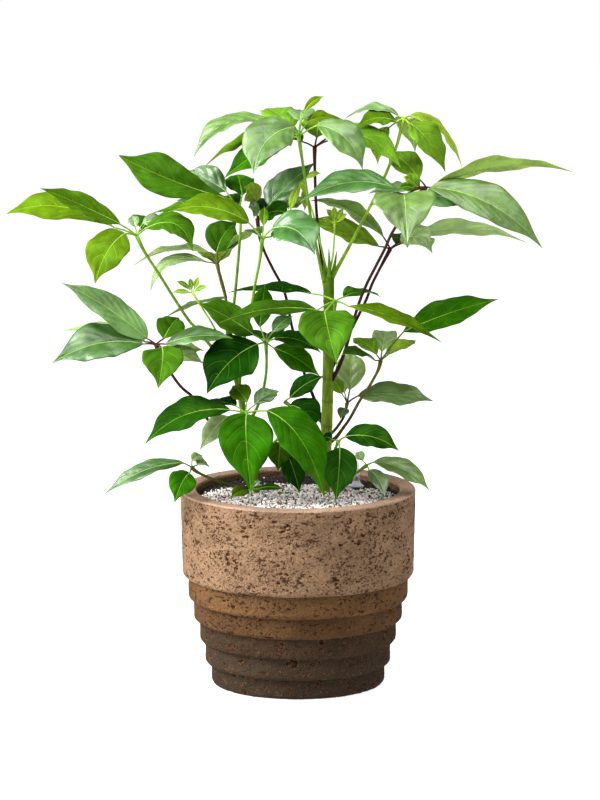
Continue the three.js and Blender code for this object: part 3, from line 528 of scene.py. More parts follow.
def spline(points, samples):
    """A smooth curve through the points, evenly spaced."""
    p = np.array(points, float)
    p = np.vstack([2 * p[0] - p[1], p, 2 * p[-1] - p[-2]])
    t = np.linspace(0, 1, 12, endpoint=False)[:, None]
    out = []
    for a, b, c, d in zip(p, p[1:], p[2:], p[3:]):
        out.append(0.5 * (2 * b + (c - a) * t + (2 * a - 5 * b + 4 * c - d) * t ** 2
                          + (3 * b - a - 3 * c + d) * t ** 3))
    out = np.vstack(out + [p[-2][None]])
    gone = travelled(out)
    at = np.linspace(0, gone[-1], samples)
    return np.stack([np.interp(at, gone, out[:, k]) for k in range(3)], axis=1)


def travelled(points):
    """How far along a line of points each of them is."""
    return np.concatenate([[0], np.cumsum(np.linalg.norm(np.diff(points, axis=0), axis=1))])


def shell(rows, sides, loop=False):
    """The faces of a round form. A loop closes on itself, and any other form ends in two points,
    which come after its rings."""
    grid = np.arange(rows * sides).reshape(rows, sides)
    nxt = np.roll(grid, -1, axis=1)
    faces = np.stack([grid[:-1], nxt[:-1], nxt[1:], grid[1:]], -1).reshape(-1, 4).tolist()
    if loop:
        return faces + np.stack([grid[-1], nxt[-1], nxt[0], grid[0]], -1).tolist()
    first, top = rows * sides, (rows - 1) * sides
    for j, k in enumerate(nxt[0].tolist()):
        faces += [[first, k, j], [first + 1, top + j, top + k]]
    return faces


def tube(path, radii, sides, squash=1.0):
    """Vertices and faces of a closed tube along a path."""
    tangents = unit(np.gradient(path, axis=0))
    normal = unit(np.cross(tangents[0], [0.3, 1.0, 0.2]))
    angle = around(sides)[:, None]
    rings = []
    for at, radius, t in zip(path, radii, tangents):
        normal = unit(normal - t * np.dot(normal, t))
        other = np.cross(t, normal)
        rings.append(at + radius * (np.cos(angle) * normal + squash * np.sin(angle) * other))
    return np.vstack(rings + [path[:1], path[-1:]]), shell(len(path), sides)


def on_tube(values, sides, ends=(0, 1)):
    """One value for each vertex of a tube, from one for each of its rings."""
    return np.concatenate([np.repeat(values, sides), ends])[:, None]


def blend(share, low, high):
    return low * (1 - share) + high * share


# Leaves

def outline(along, skew):
    """How wide a blade is at each share of its length, which ends in a drip tip."""
    body = np.sin(math.pi * along ** skew)
    drip = 1 - TIP_NARROW * smooth(along, 0.72, 0.93)
    return np.maximum(body, 0) ** 0.85 * (1 - 0.4 * along ** 6) * drip


def leaflet(build, hub, row, tone, stalk_tone, turn, seed):
    """One blade, folded along its midrib, and the stalk that runs on under it."""
    base, tip, width, tilt, arch, side, sway, skew = row + [0, 0, BLADE_SKEW][len(row) - 5:]
    rng = np.random.default_rng(seed)
    start, end = place(base), place(tip)
    middle = (start + end) / 2 + np.array([sway, 0, arch], float)
    tilt, side = math.radians(tilt), math.radians(side)
    facing = np.array([math.sin(side), -math.sin(tilt) * math.cos(side),
                       math.cos(tilt) * math.cos(side)])

    def rib(a):
        a = a[:, None]
        return start * (1 - a) ** 2 + middle * 2 * a * (1 - a) + end * a ** 2

    def axes(a):
        a = a[:, None]
        tangent = unit((middle - start) * (1 - a) + (end - middle) * a)
        return tangent, unit(facing - tangent * (tangent @ facing)[:, None])

    size = min(1.0, width / FULL_WIDTH)
    rows = int(round(12 + 24 * size))
    cols = 2 * int(round(4 + 4 * size))
    x = np.linspace(0, 1, rows + 1)
    along = 0.65 * x + 0.35 * (0.5 - 0.5 * np.cos(math.pi * x))
    centre = rib(along)
    tangent, normal = axes(along)
    across = np.cross(tangent, normal)
    length = travelled(centre)[-1]
    body = width / 2 * outline(along, skew)
    half = np.maximum(body, 0.35 + (1 - smooth(along, 0, 0.04)))
    s = np.linspace(-1, 1, cols + 1)
    A, S = np.meshgrid(along, np.sign(s) * np.abs(s) ** 0.85, indexing="ij")
    B, edge, fold = body[:, None], np.sign(S), np.abs(S)
    # the form across: the fold, ripples at the margin, a crown, and swells between side veins
    rise = B * (0.13 + 0.06 * np.sin(9 * A + 2 * edge + turn))
    ripple = 0.08 * B * fold ** 2 * np.sin(15 * A + 3 * edge + 2.3 * turn + seed)
    ripple = ripple + 0.025 * B * fold ** 3 * np.sin(37 * A + 2 * edge + turn + seed)
    crown = CROWN * B * fold * (1 - fold) * 2
    pairs = max(4, round(length / VEIN_PITCH))
    phase = pairs * (A - 0.30 * fold * (1 + 0.25 * fold)) + 0.25 * (edge > 0) + 0.1 * turn
    fade = smooth(A, 0.02, 0.12) * (1 - smooth(A, 0.85, 0.98)) * (1 - smooth(fold, 0.55, 1.0))
    quilt = -QUILT * size * np.cos(FULL_TURN * phase) * fade * smooth(fold, 0.0, 0.2)
    groove = 0.5 * size * (1 - smooth(fold * B, 0, 3))
    lift = rise * fold ** 1.15 + ripple + crown + quilt - groove
    thick = np.maximum(BLADE * (1 - 0.35 * fold), 0.5)
    flat = centre[:, None, :] + across[:, None, :] * (S * half[:, None])[..., None]
    top = flat + normal[:, None, :] * (lift + thick / 2)[..., None]
    under = flat + normal[:, None, :] * (lift - thick / 2)[..., None]
    outward = np.dot(np.cross(top[1, 0] - top[0, 0], top[0, 1] - top[0, 0]), normal[0])
    way = -1 if outward < 0 else 1
    # one diagonal for both faces, so that neither comes through the other
    n = (rows + 1) * (cols + 1)
    grid = np.arange(n).reshape(rows + 1, cols + 1)
    a, b, c, d = grid[:-1, :-1], grid[1:, :-1], grid[1:, 1:], grid[:-1, 1:]
    upper = np.vstack([np.stack(corners, -1).reshape(-1, 3) for corners in ((a, b, c), (a, c, d))])
    upper = upper[:, ::way]
    lower = upper[:, ::-1] + n
    rim = np.concatenate([grid[:, 0], grid[-1, 1:], grid[-2::-1, -1], grid[0, -2:0:-1]])
    nxt = np.roll(rim, -1)
    wall = np.stack([rim, rim + n, nxt + n, nxt], -1)[:, ::way]
    faces = upper.tolist() + lower.tolist() + wall.tolist()
    slots = [GLOSS_SLOT if tone in GLOSSY else UPPER_SLOT] * len(upper)
    slots += [LOWER_SLOT] * (len(lower) + len(wall))
    shade = linear(TONES[tone]) * rng.uniform(0.92, 1.08) * np.array(
        [rng.uniform(0.93, 1.07), 1.0, rng.uniform(0.9, 1.1)])
    below = shade * 0.45 + 0.55 * linear(UNDER)
    # one end and one half of a blade are a little paler, and so is its margin
    uneven = 1 + rng.uniform(-0.3, 0.3) * (A - 0.5) + 0.1 * fold ** 3
    uneven = (uneven + rng.uniform(-0.13, 0.13) * edge * np.minimum(1, 3 * fold)).reshape(-1, 1)
    fields = dict(rib=fold * half[:, None], along=A, phase=phase, fold=fold)
    build.add(np.vstack([top.reshape(-1, 3), under.reshape(-1, 3)]), faces, slots,
              tone=np.vstack([shade * uneven, below * uneven]),
              **{key: np.tile(value.ravel(), 2) for key, value in fields.items()})
    # the stalk, which runs on under the blade as its raised midrib
    shares = np.linspace(0, NERVE_END, 16)
    nerve = rib(shares) - NERVE_SINK * axes(shares)[1]
    bend = (hub + nerve[0]) / 2 + np.array([0, 0, 0.04 * np.linalg.norm(nerve[0] - hub)])
    path = np.vstack([spline([hub, bend, nerve[0]], 7)[:-1], nerve])
    share = np.linspace(0, 1, len(path))
    radii = np.interp(share, [0, 0.07, 0.25, 0.36, 0.6, 1], [1.9, 1.45, 1.3, 1.25, 0.75, 0.2])
    points, faces = tube(path, radii * (0.55 + 0.45 * size), NERVE_SIDES)
    near = on_tube(smooth(share, 0.22, 0.4), NERVE_SIDES)
    stalk(build, points, faces, blend(near, linear(stalk_tone), linear(UNDER) * 1.1))


def stalk(build, points, faces, tone):
    nil = np.zeros(len(points))
    build.add(points, faces, STALK_SLOT, tone=tone, rib=nil + 9, along=nil, phase=nil + 0.5,
              fold=nil)


def compound_leaf(build, index, young, tones, turn, petiole, leaflets):
    """A petiole, and the leaflets that spread from its end."""
    route = [place(p) for p in petiole]
    low, high = STALKS[tones]
    samples = 8 + 4 * len(route)
    share = np.linspace(0, 1, samples)
    radii = np.interp(share, [0, 0.06, 0.25, 0.85, 0.96, 1], [1.7, 1.3, 1.0, 0.92, 1.3, 1.45])
    radii = (YOUNG_RADIUS if young else PETIOLE_RADIUS) * radii
    points, faces = tube(spline(route, samples), radii, PETIOLE_SIDES)
    up = on_tube(share, PETIOLE_SIDES)
    mottle = 1 + 0.12 * np.sin(42 * up + index)
    stalk(build, points, faces, blend(up, linear(low), linear(high)) * mottle)
    for k, (tone, *row) in enumerate(leaflets):
        leaflet(build, route[-1], row, tone, high, turn + LEAFLET_TURN * k,
                LEAF_SEEDS * index + k)


def trunk(build, route, radius, rings, spikes):
    """A green stem with leaf scars, and sheaths and spiky stipules where it divides."""
    route = [place(p) for p in route]
    foot = [np.array([*route[0][:2], z]) for z in STEM_FOOT]
    path = spline(foot + route, STEM_SAMPLES)
    share = np.linspace(0, 1, STEM_SAMPLES)
    height = path[:, 2]
    radii = radius * (1.04 - 0.08 * share)
    mark = np.zeros(STEM_SAMPLES)
    for z in rings:
        swell = 0.054 * np.exp(-((height - z) / 2.2) ** 2)
        waist = 0.04 * np.exp(-((height - z + 5) / 3) ** 2)
        radii = radii + radius * (swell - waist)
        mark = np.maximum(mark, np.exp(-((height - z + 0.5) / 1.6) ** 2))
    radii = radii * (1 - 0.75 * smooth(share, 0.985, 1.0))
    points, faces = tube(path, radii, STEM_SIDES)
    low, high, scar = [linear(c) for c in STEM_TONES]
    ring = 0.45 * on_tube(mark, STEM_SIDES, (0, 0))
    tone = blend(ring, blend(on_tube(share, STEM_SIDES), low, high), scar)
    tone = tone * np.random.default_rng(STEM_SEED).uniform(0.94, 1.06, (len(points), 1))
    stalk(build, points, faces, tone)
    for start, end, wide, colour in spikes:
        a, b = place(start), place(end)
        way = spline([a, (a + b) / 2 + np.array([0.6, -0.6, 0]), b], 9)
        points, faces = tube(way, wide * (1 - np.linspace(0, 1, 9)) ** 0.8 + 0.15, 8, 0.55)
        stalk(build, points, faces, np.broadcast_to(linear(colour), (len(points), 3)))


# Planter, fill and gauge

def turned(profile, sides, loop=False):
    """Vertices and faces of a turned form. The profile starts and ends on the axis, or is a
    loop clear of it."""
    profile = np.asarray(profile, float)
    inner = profile if loop else profile[1:-1]
    angle = around(sides)
    ring = np.stack([np.cos(angle), np.sin(angle)], -1)
    xy = inner[:, None, :1] * ring[None]
    z = np.broadcast_to(inner[:, None, 1:], (len(inner), sides, 1))
    points = np.concatenate([xy, z], -1).reshape(-1, 3)
    if not loop:
        points = np.vstack([points, [[0, 0, profile[0][1]], [0, 0, profile[-1][1]]]])
    return points, shell(len(inner), sides, loop)


def arc(cx, cz, radius, start, end, count):
    a = np.radians(np.linspace(start, end, count))
    return [[cx + radius * math.cos(t), cz + radius * math.sin(t)] for t in a]


def run(start, end, step):
    """Points at even steps from start, which is left out, to end."""
    count = max(1, int(math.ceil(math.dist(start, end) / step)))
    return [[start[0] + (end[0] - start[0]) * i / count, start[1] + (end[1] - start[1]) * i / count]
            for i in range(1, count + 1)]


def ring_parts():
    """The stepped cup under the band: stretches of its profile, each with its mark."""
    parts = [([[0, 0]] + run([0, 0], [RING_RADII[0] - TUCK, 0], 30), INSIDE)]
    tops = RING_BOTTOMS[1:] + [BAND_BOTTOM]
    for i, (radius, bottom, top) in enumerate(zip(RING_RADII, RING_BOTTOMS, tops)):
        parts.append((arc(radius - TUCK, bottom + TUCK, TUCK, -90, 0, ARC_POINTS), i))
        parts.append((run([radius, bottom + TUCK], [radius, top], POT_STEP), i))
    return parts + [([[WAIST, BAND_BOTTOM], [INNER_FOOT, FLOOR], [0, FLOOR]], INSIDE)]


def band_parts():
    """The tall band with the rim, as a loop: stretches of its profile, each with its mark."""
    rim, foot, top = RIM_DIAMETER / 2, BAND_BOTTOM + 0.2, POT_HEIGHT - LIP
    inner = rim - WALL
    return [
        ([[WAIST, foot], [BAND_FOOT - TUCK - 4, foot]], INSIDE),
        (arc(BAND_FOOT - TUCK, BAND_BOTTOM + TUCK, TUCK, -90, 0, ARC_POINTS), BAND),
        (run([BAND_FOOT, BAND_BOTTOM + TUCK], [rim, top], POT_STEP), BAND),
        (arc(rim - LIP, top, LIP, 8, 90, LIP_POINTS), RIM),
        (run([rim - LIP, POT_HEIGHT], [inner + LIP, POT_HEIGHT], 2.2), RIM),
        (arc(inner + LIP, top, LIP, 98, 180, LIP_POINTS), RIM),
        (run([inner, top], [inner - 1, POT_HEIGHT - 22], 2.2), INSIDE),
        ([[WAIST + 1, BAND_BOTTOM + 30]], INSIDE),
    ]


def pit_places(rng, low, high):
    """Where pits lie on an outer face: single ones, and short wandering trails of them."""
    places = []
    for _ in range(int(PIT_TRAILS * (high - low) / PIT_REACH)):
        g, th = rng.uniform(low, high), rng.uniform(0, FULL_TURN)
        heading = rng.normal(0, 0.5) if rng.random() < LEVEL_SHARE else rng.uniform(-1.6, 1.6)
        size = rng.gamma(3.0, 0.32) + 0.35
        for _ in range(rng.integers(2, 6)):
            places.append((g, th, size * rng.uniform(0.7, 1.2), rng.uniform(0.9, 1.9)))
            heading += rng.normal(0, 0.9)
            step = rng.uniform(1.2, 2.6) * (0.6 + size)
            g += step * math.sin(heading)
            th += step * math.cos(heading) / MEAN_RADIUS
    for _ in range(int(PIT_SINGLES * (high - low) / PIT_REACH)):
        places.append((rng.uniform(low, high), rng.uniform(0, FULL_TURN),
                       rng.gamma(2.4, 0.26) + 0.4, rng.uniform(0.8, 2.2)))
    return places


def waves(table, theta, gone):
    return sum(high * np.sin(count * theta + climb * gone + phase)
               for high, count, climb, phase in table)


def stucco(name, parts, loop, seed):
    """A turned piece of the planter with its pits, grain and colours."""
    sides = POT_SIDES
    profile = np.array([point for points, _ in parts for point in points], float)
    marks = np.array([mark for points, mark in parts for _ in points])
    points, faces = turned(profile, sides, loop)
    inner, marks = (profile, marks) if loop else (profile[1:-1], marks[1:-1])
    rows = len(inner)
    theta = around(sides)
    pitch = FULL_TURN / sides
    gone = travelled(inner)
    outer = np.where(marks <= BAND)[0]
    low, high = gone[outer[0]], gone[outer[-1]]
    rng = np.random.default_rng(seed)
    depth = np.zeros((rows, sides))
    for g, th, tall, stretch in pit_places(rng, low, high):
        if g < low or g > high - 2:
            continue
        radius = inner[min(int(np.searchsorted(gone, g)), rows - 1), 0]
        wide = tall * stretch
        deep = rng.uniform(0.7, 1.5) * min(2.2, 0.5 + tall)
        first = np.searchsorted(gone, g - 2 * tall)
        last = min(np.searchsorted(gone, g + 2 * tall) + 1, rows)
        span = int(math.ceil(2 * wide / radius / pitch))
        mid = int(round((th % FULL_TURN) / pitch))
        cols = np.arange(mid - span, mid + span + 1) % sides
        turn = (theta[cols] - th + math.pi) % FULL_TURN - math.pi
        dz = (gone[first:last] - g)[:, None]
        dx = (turn * radius)[None] + rng.uniform(-0.6, 0.6) * dz
        wobble = 1 + 0.4 * np.sin(3 * np.arctan2(dz, dx) + rng.uniform(0, 6))
        q = ((dx / wide) ** 2 + (dz / tall) ** 2) * wobble
        patch = np.ix_(np.arange(first, last), cols)
        depth[patch] = np.maximum(depth[patch], deep * np.exp(-q ** 1.5))
    grain = rng.standard_normal((rows, sides))
    grain = 0.5 * grain + 0.25 * (np.roll(grain, 1, 1) + np.roll(grain, 1, 0))
    mark, climb = marks[:, None], gone[:, None]
    push = 0.4 * waves(FORM_WAVES, theta, climb) + 0.2 * grain - depth
    push = np.where(mark <= BAND, push, np.where(mark == RIM, 0.09 * grain, 0.0))
    along = np.gradient(inner, axis=0)
    normal = unit(np.stack([along[:, 1], -along[:, 0]], -1))
    ring = points[:rows * sides].reshape(rows, sides, 3)
    ring[..., 0] += normal[:, None, 0] * push * np.cos(theta)
    ring[..., 1] += normal[:, None, 0] * push * np.sin(theta)
    ring[..., 2] = np.maximum(ring[..., 2] + normal[:, None, 1] * push, 0.0)
    tints = linear(POT_TONES)
    cloud = waves(TONE_WAVES, theta, climb) + 0.05 * rng.standard_normal((rows, sides))
    colour = tints[marks][:, None, :] * (1 + cloud)[..., None]
    skin = np.where(marks == BAND, 1.0, 0.6 * (marks < BAND)).repeat(sides)
    ends = 0 if loop else 2
    build = Build()
    build.add(points, faces, tone=np.vstack([colour.reshape(-1, 3)] + [tints[INSIDE]] * ends),
              pit=np.append(clamp01(depth / 1.6).ravel(), [0] * ends),
              skin=np.append(skin, [0] * ends))
    build.piece(name, [POT], "plant", ["pot"])


def strew(build, places, sizes, colours, rng):
    """Angular grains, each a 20-faced solid out of true, at the given places."""
    g = (1 + math.sqrt(5)) / 2
    corners = unit(np.array([
        [-1, g, 0], [1, g, 0], [-1, -g, 0], [1, -g, 0], [0, -1, g], [0, 1, g],
        [0, -1, -g], [0, 1, -g], [g, 0, -1], [g, 0, 1], [-g, 0, -1], [-g, 0, 1]], float))
    faces = np.array([
        (0, 11, 5), (0, 5, 1), (0, 1, 7), (0, 7, 10), (0, 10, 11), (1, 5, 9), (5, 11, 4),
        (11, 10, 2), (10, 7, 6), (7, 1, 8), (3, 9, 4), (3, 4, 2), (3, 2, 6), (3, 6, 8),
        (3, 8, 9), (4, 9, 5), (2, 4, 11), (6, 2, 10), (8, 6, 7), (9, 8, 1)])
    n = len(places)
    turn = unit(rng.standard_normal((n, 3, 3)))
    x = turn[:, 0]
    y = unit(np.cross(x, turn[:, 1]))
    axes = np.stack([x, y, np.cross(x, y)], 1)
    shape = corners[None] * rng.uniform(0.75, 1.2, (n, 12, 1))
    shape = shape * rng.uniform(0.65, 1.15, (n, 1, 3)) * sizes[:, None, None]
    points = np.einsum("nvk,nkj->nvj", shape, axes) + places[:, None, :]
    index = (faces[None] + 12 * np.arange(n)[:, None, None]).reshape(-1, 3)
    build.add(points.reshape(-1, 3), index, tone=np.repeat(colours, 12, axis=0))


def clear_of_holes(x, y, room):
    return np.all([np.hypot(x - hx, y - hy) > radius + room for hx, hy, radius in HOLES], axis=0)


def stone_zone(x, y, inset):
    inside = np.hypot(x, y) < STONE_RADIUS - inset
    inside &= np.hypot(x, y - STONE_BACK_CENTRE) < STONE_BACK_RADIUS - inset
    return inside & clear_of_holes(x, y, 1.5)


def stone_tones(rng, count):
    return linear(GRAINS)[rng.choice(len(GRAINS), count, p=GRAIN_SHARES)]


def make_stones():
    rng = np.random.default_rng(STONE_SEED)
    build = Build()
    reach = STONE_RADIUS + 2
    xs, ys = np.meshgrid(np.arange(-reach, reach, STONE_PITCH),
                         np.arange(-reach, reach, STONE_PITCH * 0.87))
    xs = xs + (np.arange(xs.shape[0]) % 2)[:, None] * STONE_PITCH / 2
    x = xs.ravel() + rng.normal(0, 0.8, xs.size)
    y = ys.ravel() + rng.normal(0, 0.8, xs.size)
    keep = stone_zone(x, y, 2.5)
    x, y = x[keep], y[keep]
    n = len(x)
    z = STONE_TOP - 1.4 + rng.normal(0, 1.1, n) + 0.9 * np.sin(0.05 * x + 1) * np.cos(0.06 * y)
    colours = clamp01(stone_tones(rng, n) * rng.uniform(0.8, 1.15, (n, 1)))
    strew(build, stack(x, y, z), rng.uniform(1.2, 2.3, n), colours, rng)
    # a few grains lie loose past the edge of the layer
    th = rng.uniform(0, FULL_TURN, LOOSE_STONES)
    out = rng.uniform(141, 151, LOOSE_STONES)
    x, y = out * np.cos(th), out * np.sin(th)
    keep = np.hypot(x, y - STONE_BACK_CENTRE) <= STONE_BACK_RADIUS
    x, y = x[keep], y[keep]
    colours = stone_tones(rng, len(x))
    strew(build, stack(x, y, STONE_TOP - 3.5), rng.uniform(1.6, 2.6, len(x)), colours, rng)
    # the bed under the loose grains
    out, th = np.meshgrid(np.linspace(4, 147, BED_RINGS), around(BED_SIDES), indexing="ij")
    x, y = (out * np.cos(th)).ravel(), (out * np.sin(th)).ravel()
    back = STONE_BACK_RADIUS - 3
    pull = np.minimum(1.0, back / np.maximum(np.hypot(x, y - STONE_BACK_CENTRE), 1))
    x, y = x * pull, STONE_BACK_CENTRE + (y - STONE_BACK_CENTRE) * pull
    count = len(x)
    points = [stack(x, y, STONE_TOP - down) for down in (3.4, 6.6)]
    cells = np.arange(count).reshape(BED_RINGS, BED_SIDES)
    nxt = np.roll(cells, -1, axis=1)
    top = np.stack([cells[:-1], cells[1:], nxt[1:], nxt[:-1]], -1).reshape(-1, 4)
    side = np.stack([cells[-1], cells[-1] + count, nxt[-1] + count, nxt[-1]], -1)
    hole = np.stack([cells[0], nxt[0], nxt[0] + count, cells[0] + count], -1)
    build.add(np.vstack(points), np.vstack([top, top[:, ::-1] + count, side, hole]),
              tone=np.tile(linear(BED_TONE), (2 * count, 1)))
    build.piece("gravel", [GRAVEL], "plant", ["stone_layer"], flat=True)


def make_soil():
    rng = np.random.default_rng(SOIL_SEED)
    build = Build()
    rim = SOIL_RADIUS
    foot = FLOOR + CLEARANCE
    profile = [[0, foot], [INNER_FOOT - CLEARANCE, foot], [WAIST - CLEARANCE, BAND_BOTTOM],
               [rim, SOIL_TOP - 0.5]] + [[rim * (1 - i / 40), SOIL_TOP] for i in range(1, 41)]
    points, faces = turned(profile, 150)
    x, y, z = points.T
    bumps = 0.8 * np.sin(0.21 * x) * np.cos(0.19 * y) + 0.6 * rng.standard_normal(len(points))
    z += np.where(z > SOIL_TOP - 0.1, np.clip(bumps, -1.6, 1.6) - 0.3, 0)
    build.add(points, faces, tone=linear(SOIL_TONE) * rng.uniform(0.7, 1.3, (len(points), 1)))
    # crumbs where the stones don't lie, some of them white
    th, out = rng.uniform(0, FULL_TURN, CRUMBS), rim * np.sqrt(rng.uniform(0.3, 0.985, CRUMBS))
    x, y = out * np.cos(th), out * np.sin(th)
    keep = ~stone_zone(x, y, 3.0) & (np.hypot(x, y) < rim - 2) & clear_of_holes(x, y, 3)
    x, y = x[keep], y[keep]
    n = len(x)
    sizes = rng.gamma(3, 0.42, n).clip(0.5, 2.6)
    white = rng.random(n) < WHITE_SHARE
    colours = np.where(white[:, None], linear(SPECK_TONE), linear(CRUMB_TONE))
    colours = clamp01(colours * rng.uniform(0.55, 1.5, (n, 1)))
    strew(build, stack(x, y, SOIL_TOP + rng.uniform(-0.3, 1.2, n)),
          np.where(white, sizes * 0.5, sizes), colours, rng)
    build.piece("potting_soil", [SOIL], "plant", ["soil"], flat=True)


def lathe(name, foot, profile, material, body, node, colour):
    """A turned piece of the gauge, with painted shade where it meets the stones."""
    build = Build()
    points, faces = turned(profile, 40)
    points += [GAUGE_X, GAUGE_Y, foot]
    # painted shade: a dark band where the flange sits on the stones
    low = np.abs(points[:, 2:] - GAUGE_SEAT - 0.3) < 1.0
    build.add(points, faces, tone=linear(colour) * np.where(low, 0.3, 1.0))
    build.piece(name, [material], body, [node])


def make_gauge():
    """The flange with its stake, the clear tube on it, and the float in the tube."""
    lathe("gauge_base", GAUGE_SEAT, [
        [0, -66.8], [3, -66.8], [5.5, -61.8], [5.5, 0], [10.9, 0], [11.5, 0.5], [11.5, 1.2],
        [11, 1.7], [8.6, 3.2], [6.4, 5.6], [5.4, 7.8], [5, 9], [1.7, 9], [1.7, -37.4],
        [0, -37.4]], FOOT, "plant", "gauge_foot", (176, 170, 182))
    lathe("gauge_pipe", GAUGE_SEAT + 9.3, [
        [0, 43.1], [1.4, 43], [1.6, 42], [1.6, 36], [3.7, 23], [3.7, 0], [4.6, 0], [4.6, 23],
        [2.5, 36], [2.5, 43], [1.9, 44], [0, 44]],
        CLEAR, "plant", "gauge_tube", (236, 240, 242))
    lathe("gauge_bobber", GAUGE_SEAT + 9.3, [
        [0, -46], [1.1, -46], [1.1, 0], [2.4, 0], [2.8, 0.5], [2.8, 5.4], [2.3, 6], [0, 6]],
        FLOAT, "float", "gauge_float", (214, 62, 22))


# Materials

class Net:
    """A new material, and short ways to add nodes before its shader."""

    def __init__(self, name, rough, **sockets):
        self.material = bpy.data.materials.new(name)
        self.material.use_nodes = True
        tree = self.material.node_tree
        self.nodes, self.links = tree.nodes, tree.links
        self.shader = self.nodes["Principled BSDF"]
        for key, value in dict(sockets, Roughness=rough).items():
            self.feed(self.shader.inputs[key.replace("_", " ")], value)

    def feed(self, socket, value):
        """A number, a colour or the output of a node goes into a socket."""
        if isinstance(value, (int, float)):
            socket.default_value = value
        elif isinstance(value, (tuple, np.ndarray)):
            socket.default_value = (*[float(v) for v in value], 1.0)
        else:
            self.links.new(value, socket)

    def node(self, kind, **settings):
        made = self.nodes.new("ShaderNode" + kind)
        for key, value in settings.items():
            setattr(made, key, value)
        return made

    def attribute(self, name, output="Fac"):
        return self.node("Attribute", attribute_name=name).outputs[output]

    def math(self, operation, *values):
        made = self.node("Math", operation=operation)
        for socket, value in zip(made.inputs, values):
            self.feed(socket, value)
        return made.outputs[0]

    def product(self, first, *others):
        for other in others:
            first = self.math("MULTIPLY", first, other)
        return first

    def step(self, value, low, high, out_low=0.0, out_high=1.0):
        made = self.node("MapRange", interpolation_type="SMOOTHSTEP")
        for key, number in (("Value", value), ("From Min", low), ("From Max", high),
                            ("To Min", out_low), ("To Max", out_high)):
            self.feed(made.inputs[key], number)
        return made.outputs[0]

    def mix(self, factor, a, b, blend_type="MIX"):
        made = self.node("Mix", data_type="RGBA", blend_type=blend_type)
        for number, value in ((0, factor), (6, a), (7, b)):
            self.feed(made.inputs[number], value)
        return made.outputs[2]

    def times(self, a, b):
        return self.mix(1.0, a, b, "MULTIPLY")

    def noise(self, scale, detail, stretch=(1, 1, 1)):
        mapping, made = self.node("Mapping"), self.node("TexNoise")
        mapping.inputs["Scale"].default_value = stretch
        self.feed(mapping.inputs["Vector"], self.node("TexCoord").outputs["Object"])
        for key, value in (("Scale", scale), ("Detail", detail), ("Vector", mapping.outputs[0])):
            self.feed(made.inputs[key], value)
        return made.outputs["Fac"]

    def bump(self, height, distance):
        made = self.node("Bump")
        for key, value in (("Distance", distance), ("Strength", 1.0), ("Height", height)):
            self.feed(made.inputs[key], value)
        self.feed(self.shader.inputs["Normal"], made.outputs[0])

    def painted(self, colour):
        self.feed(self.shader.inputs["Base Color"], colour)
        return self.material


def leaf_material(name, rough, level, vein_tint, vein_share, vein_rise, painted_band_depth, painted_sheen_share, painted_sheen_tint):
    """One side of the blades: mottled, with a midrib, side veins and swells between them, painted
    sheen in patches, and painted light and shade in bands between the side veins.
    """
    net = Net(name, rough, Specular_IOR_Level=level)
    rib, along, phase, fold = [net.attribute(key) for key in ("rib", "along", "phase", "fold")]
    shade = net.step(net.noise(38, 3), 0.3, 0.7, 0.74, 1.18)
    base = net.times(net.attribute("tone", "Color"), shade)
    # painted sheen: paler, bluer patches that stand in for the gloss of light on the blade
    painted_sheen_mask = net.step(net.noise(21, 1), 0.52, 0.78, 0.0, painted_sheen_share)
    base = net.mix(painted_sheen_mask, base, linear(painted_sheen_tint))
    # the midrib narrows toward the tip
    width = net.math("MULTIPLY_ADD", along, -0.75, 1.15)
    main = net.step(net.math("DIVIDE", rib, width), 0.55, 1.15, 1.0, 0.0)
    cell = net.math("FRACT", net.math("ADD", phase, 0.5))
    off = net.math("ABSOLUTE", net.math("SUBTRACT", cell, 0.5))
    side = net.step(off, 0.012, 0.05, 1.0, 0.0)
    reach = net.step(fold, 0.55, 0.92, 1.0, 0.0)
    lines = net.math("MAXIMUM", net.product(main, 0.85), net.product(side, reach, vein_share))
    # painted light and shade: the blade is painted paler between its side veins, where it swells,
    # and darker at the veins
    swell = net.step(off, 0.04, 0.4, 1 - painted_band_depth, 1 + 0.6 * painted_band_depth)
    painted_band_mask = net.step(net.noise(17, 1), 0.38, 0.6)
    base = net.mix(painted_band_mask, base, net.times(base, swell))
    bright = net.times(base, (2.1, 1.9, 2.1))
    pale = net.mix(net.math("MULTIPLY_ADD", main, 0.3, 0.22), bright, linear(vein_tint))
    relief = net.math("MULTIPLY_ADD", net.noise(75, 2), 0.8, net.product(lines, vein_rise))
    net.bump(relief, 0.0014)
    return net.painted(net.mix(lines, base, pale))


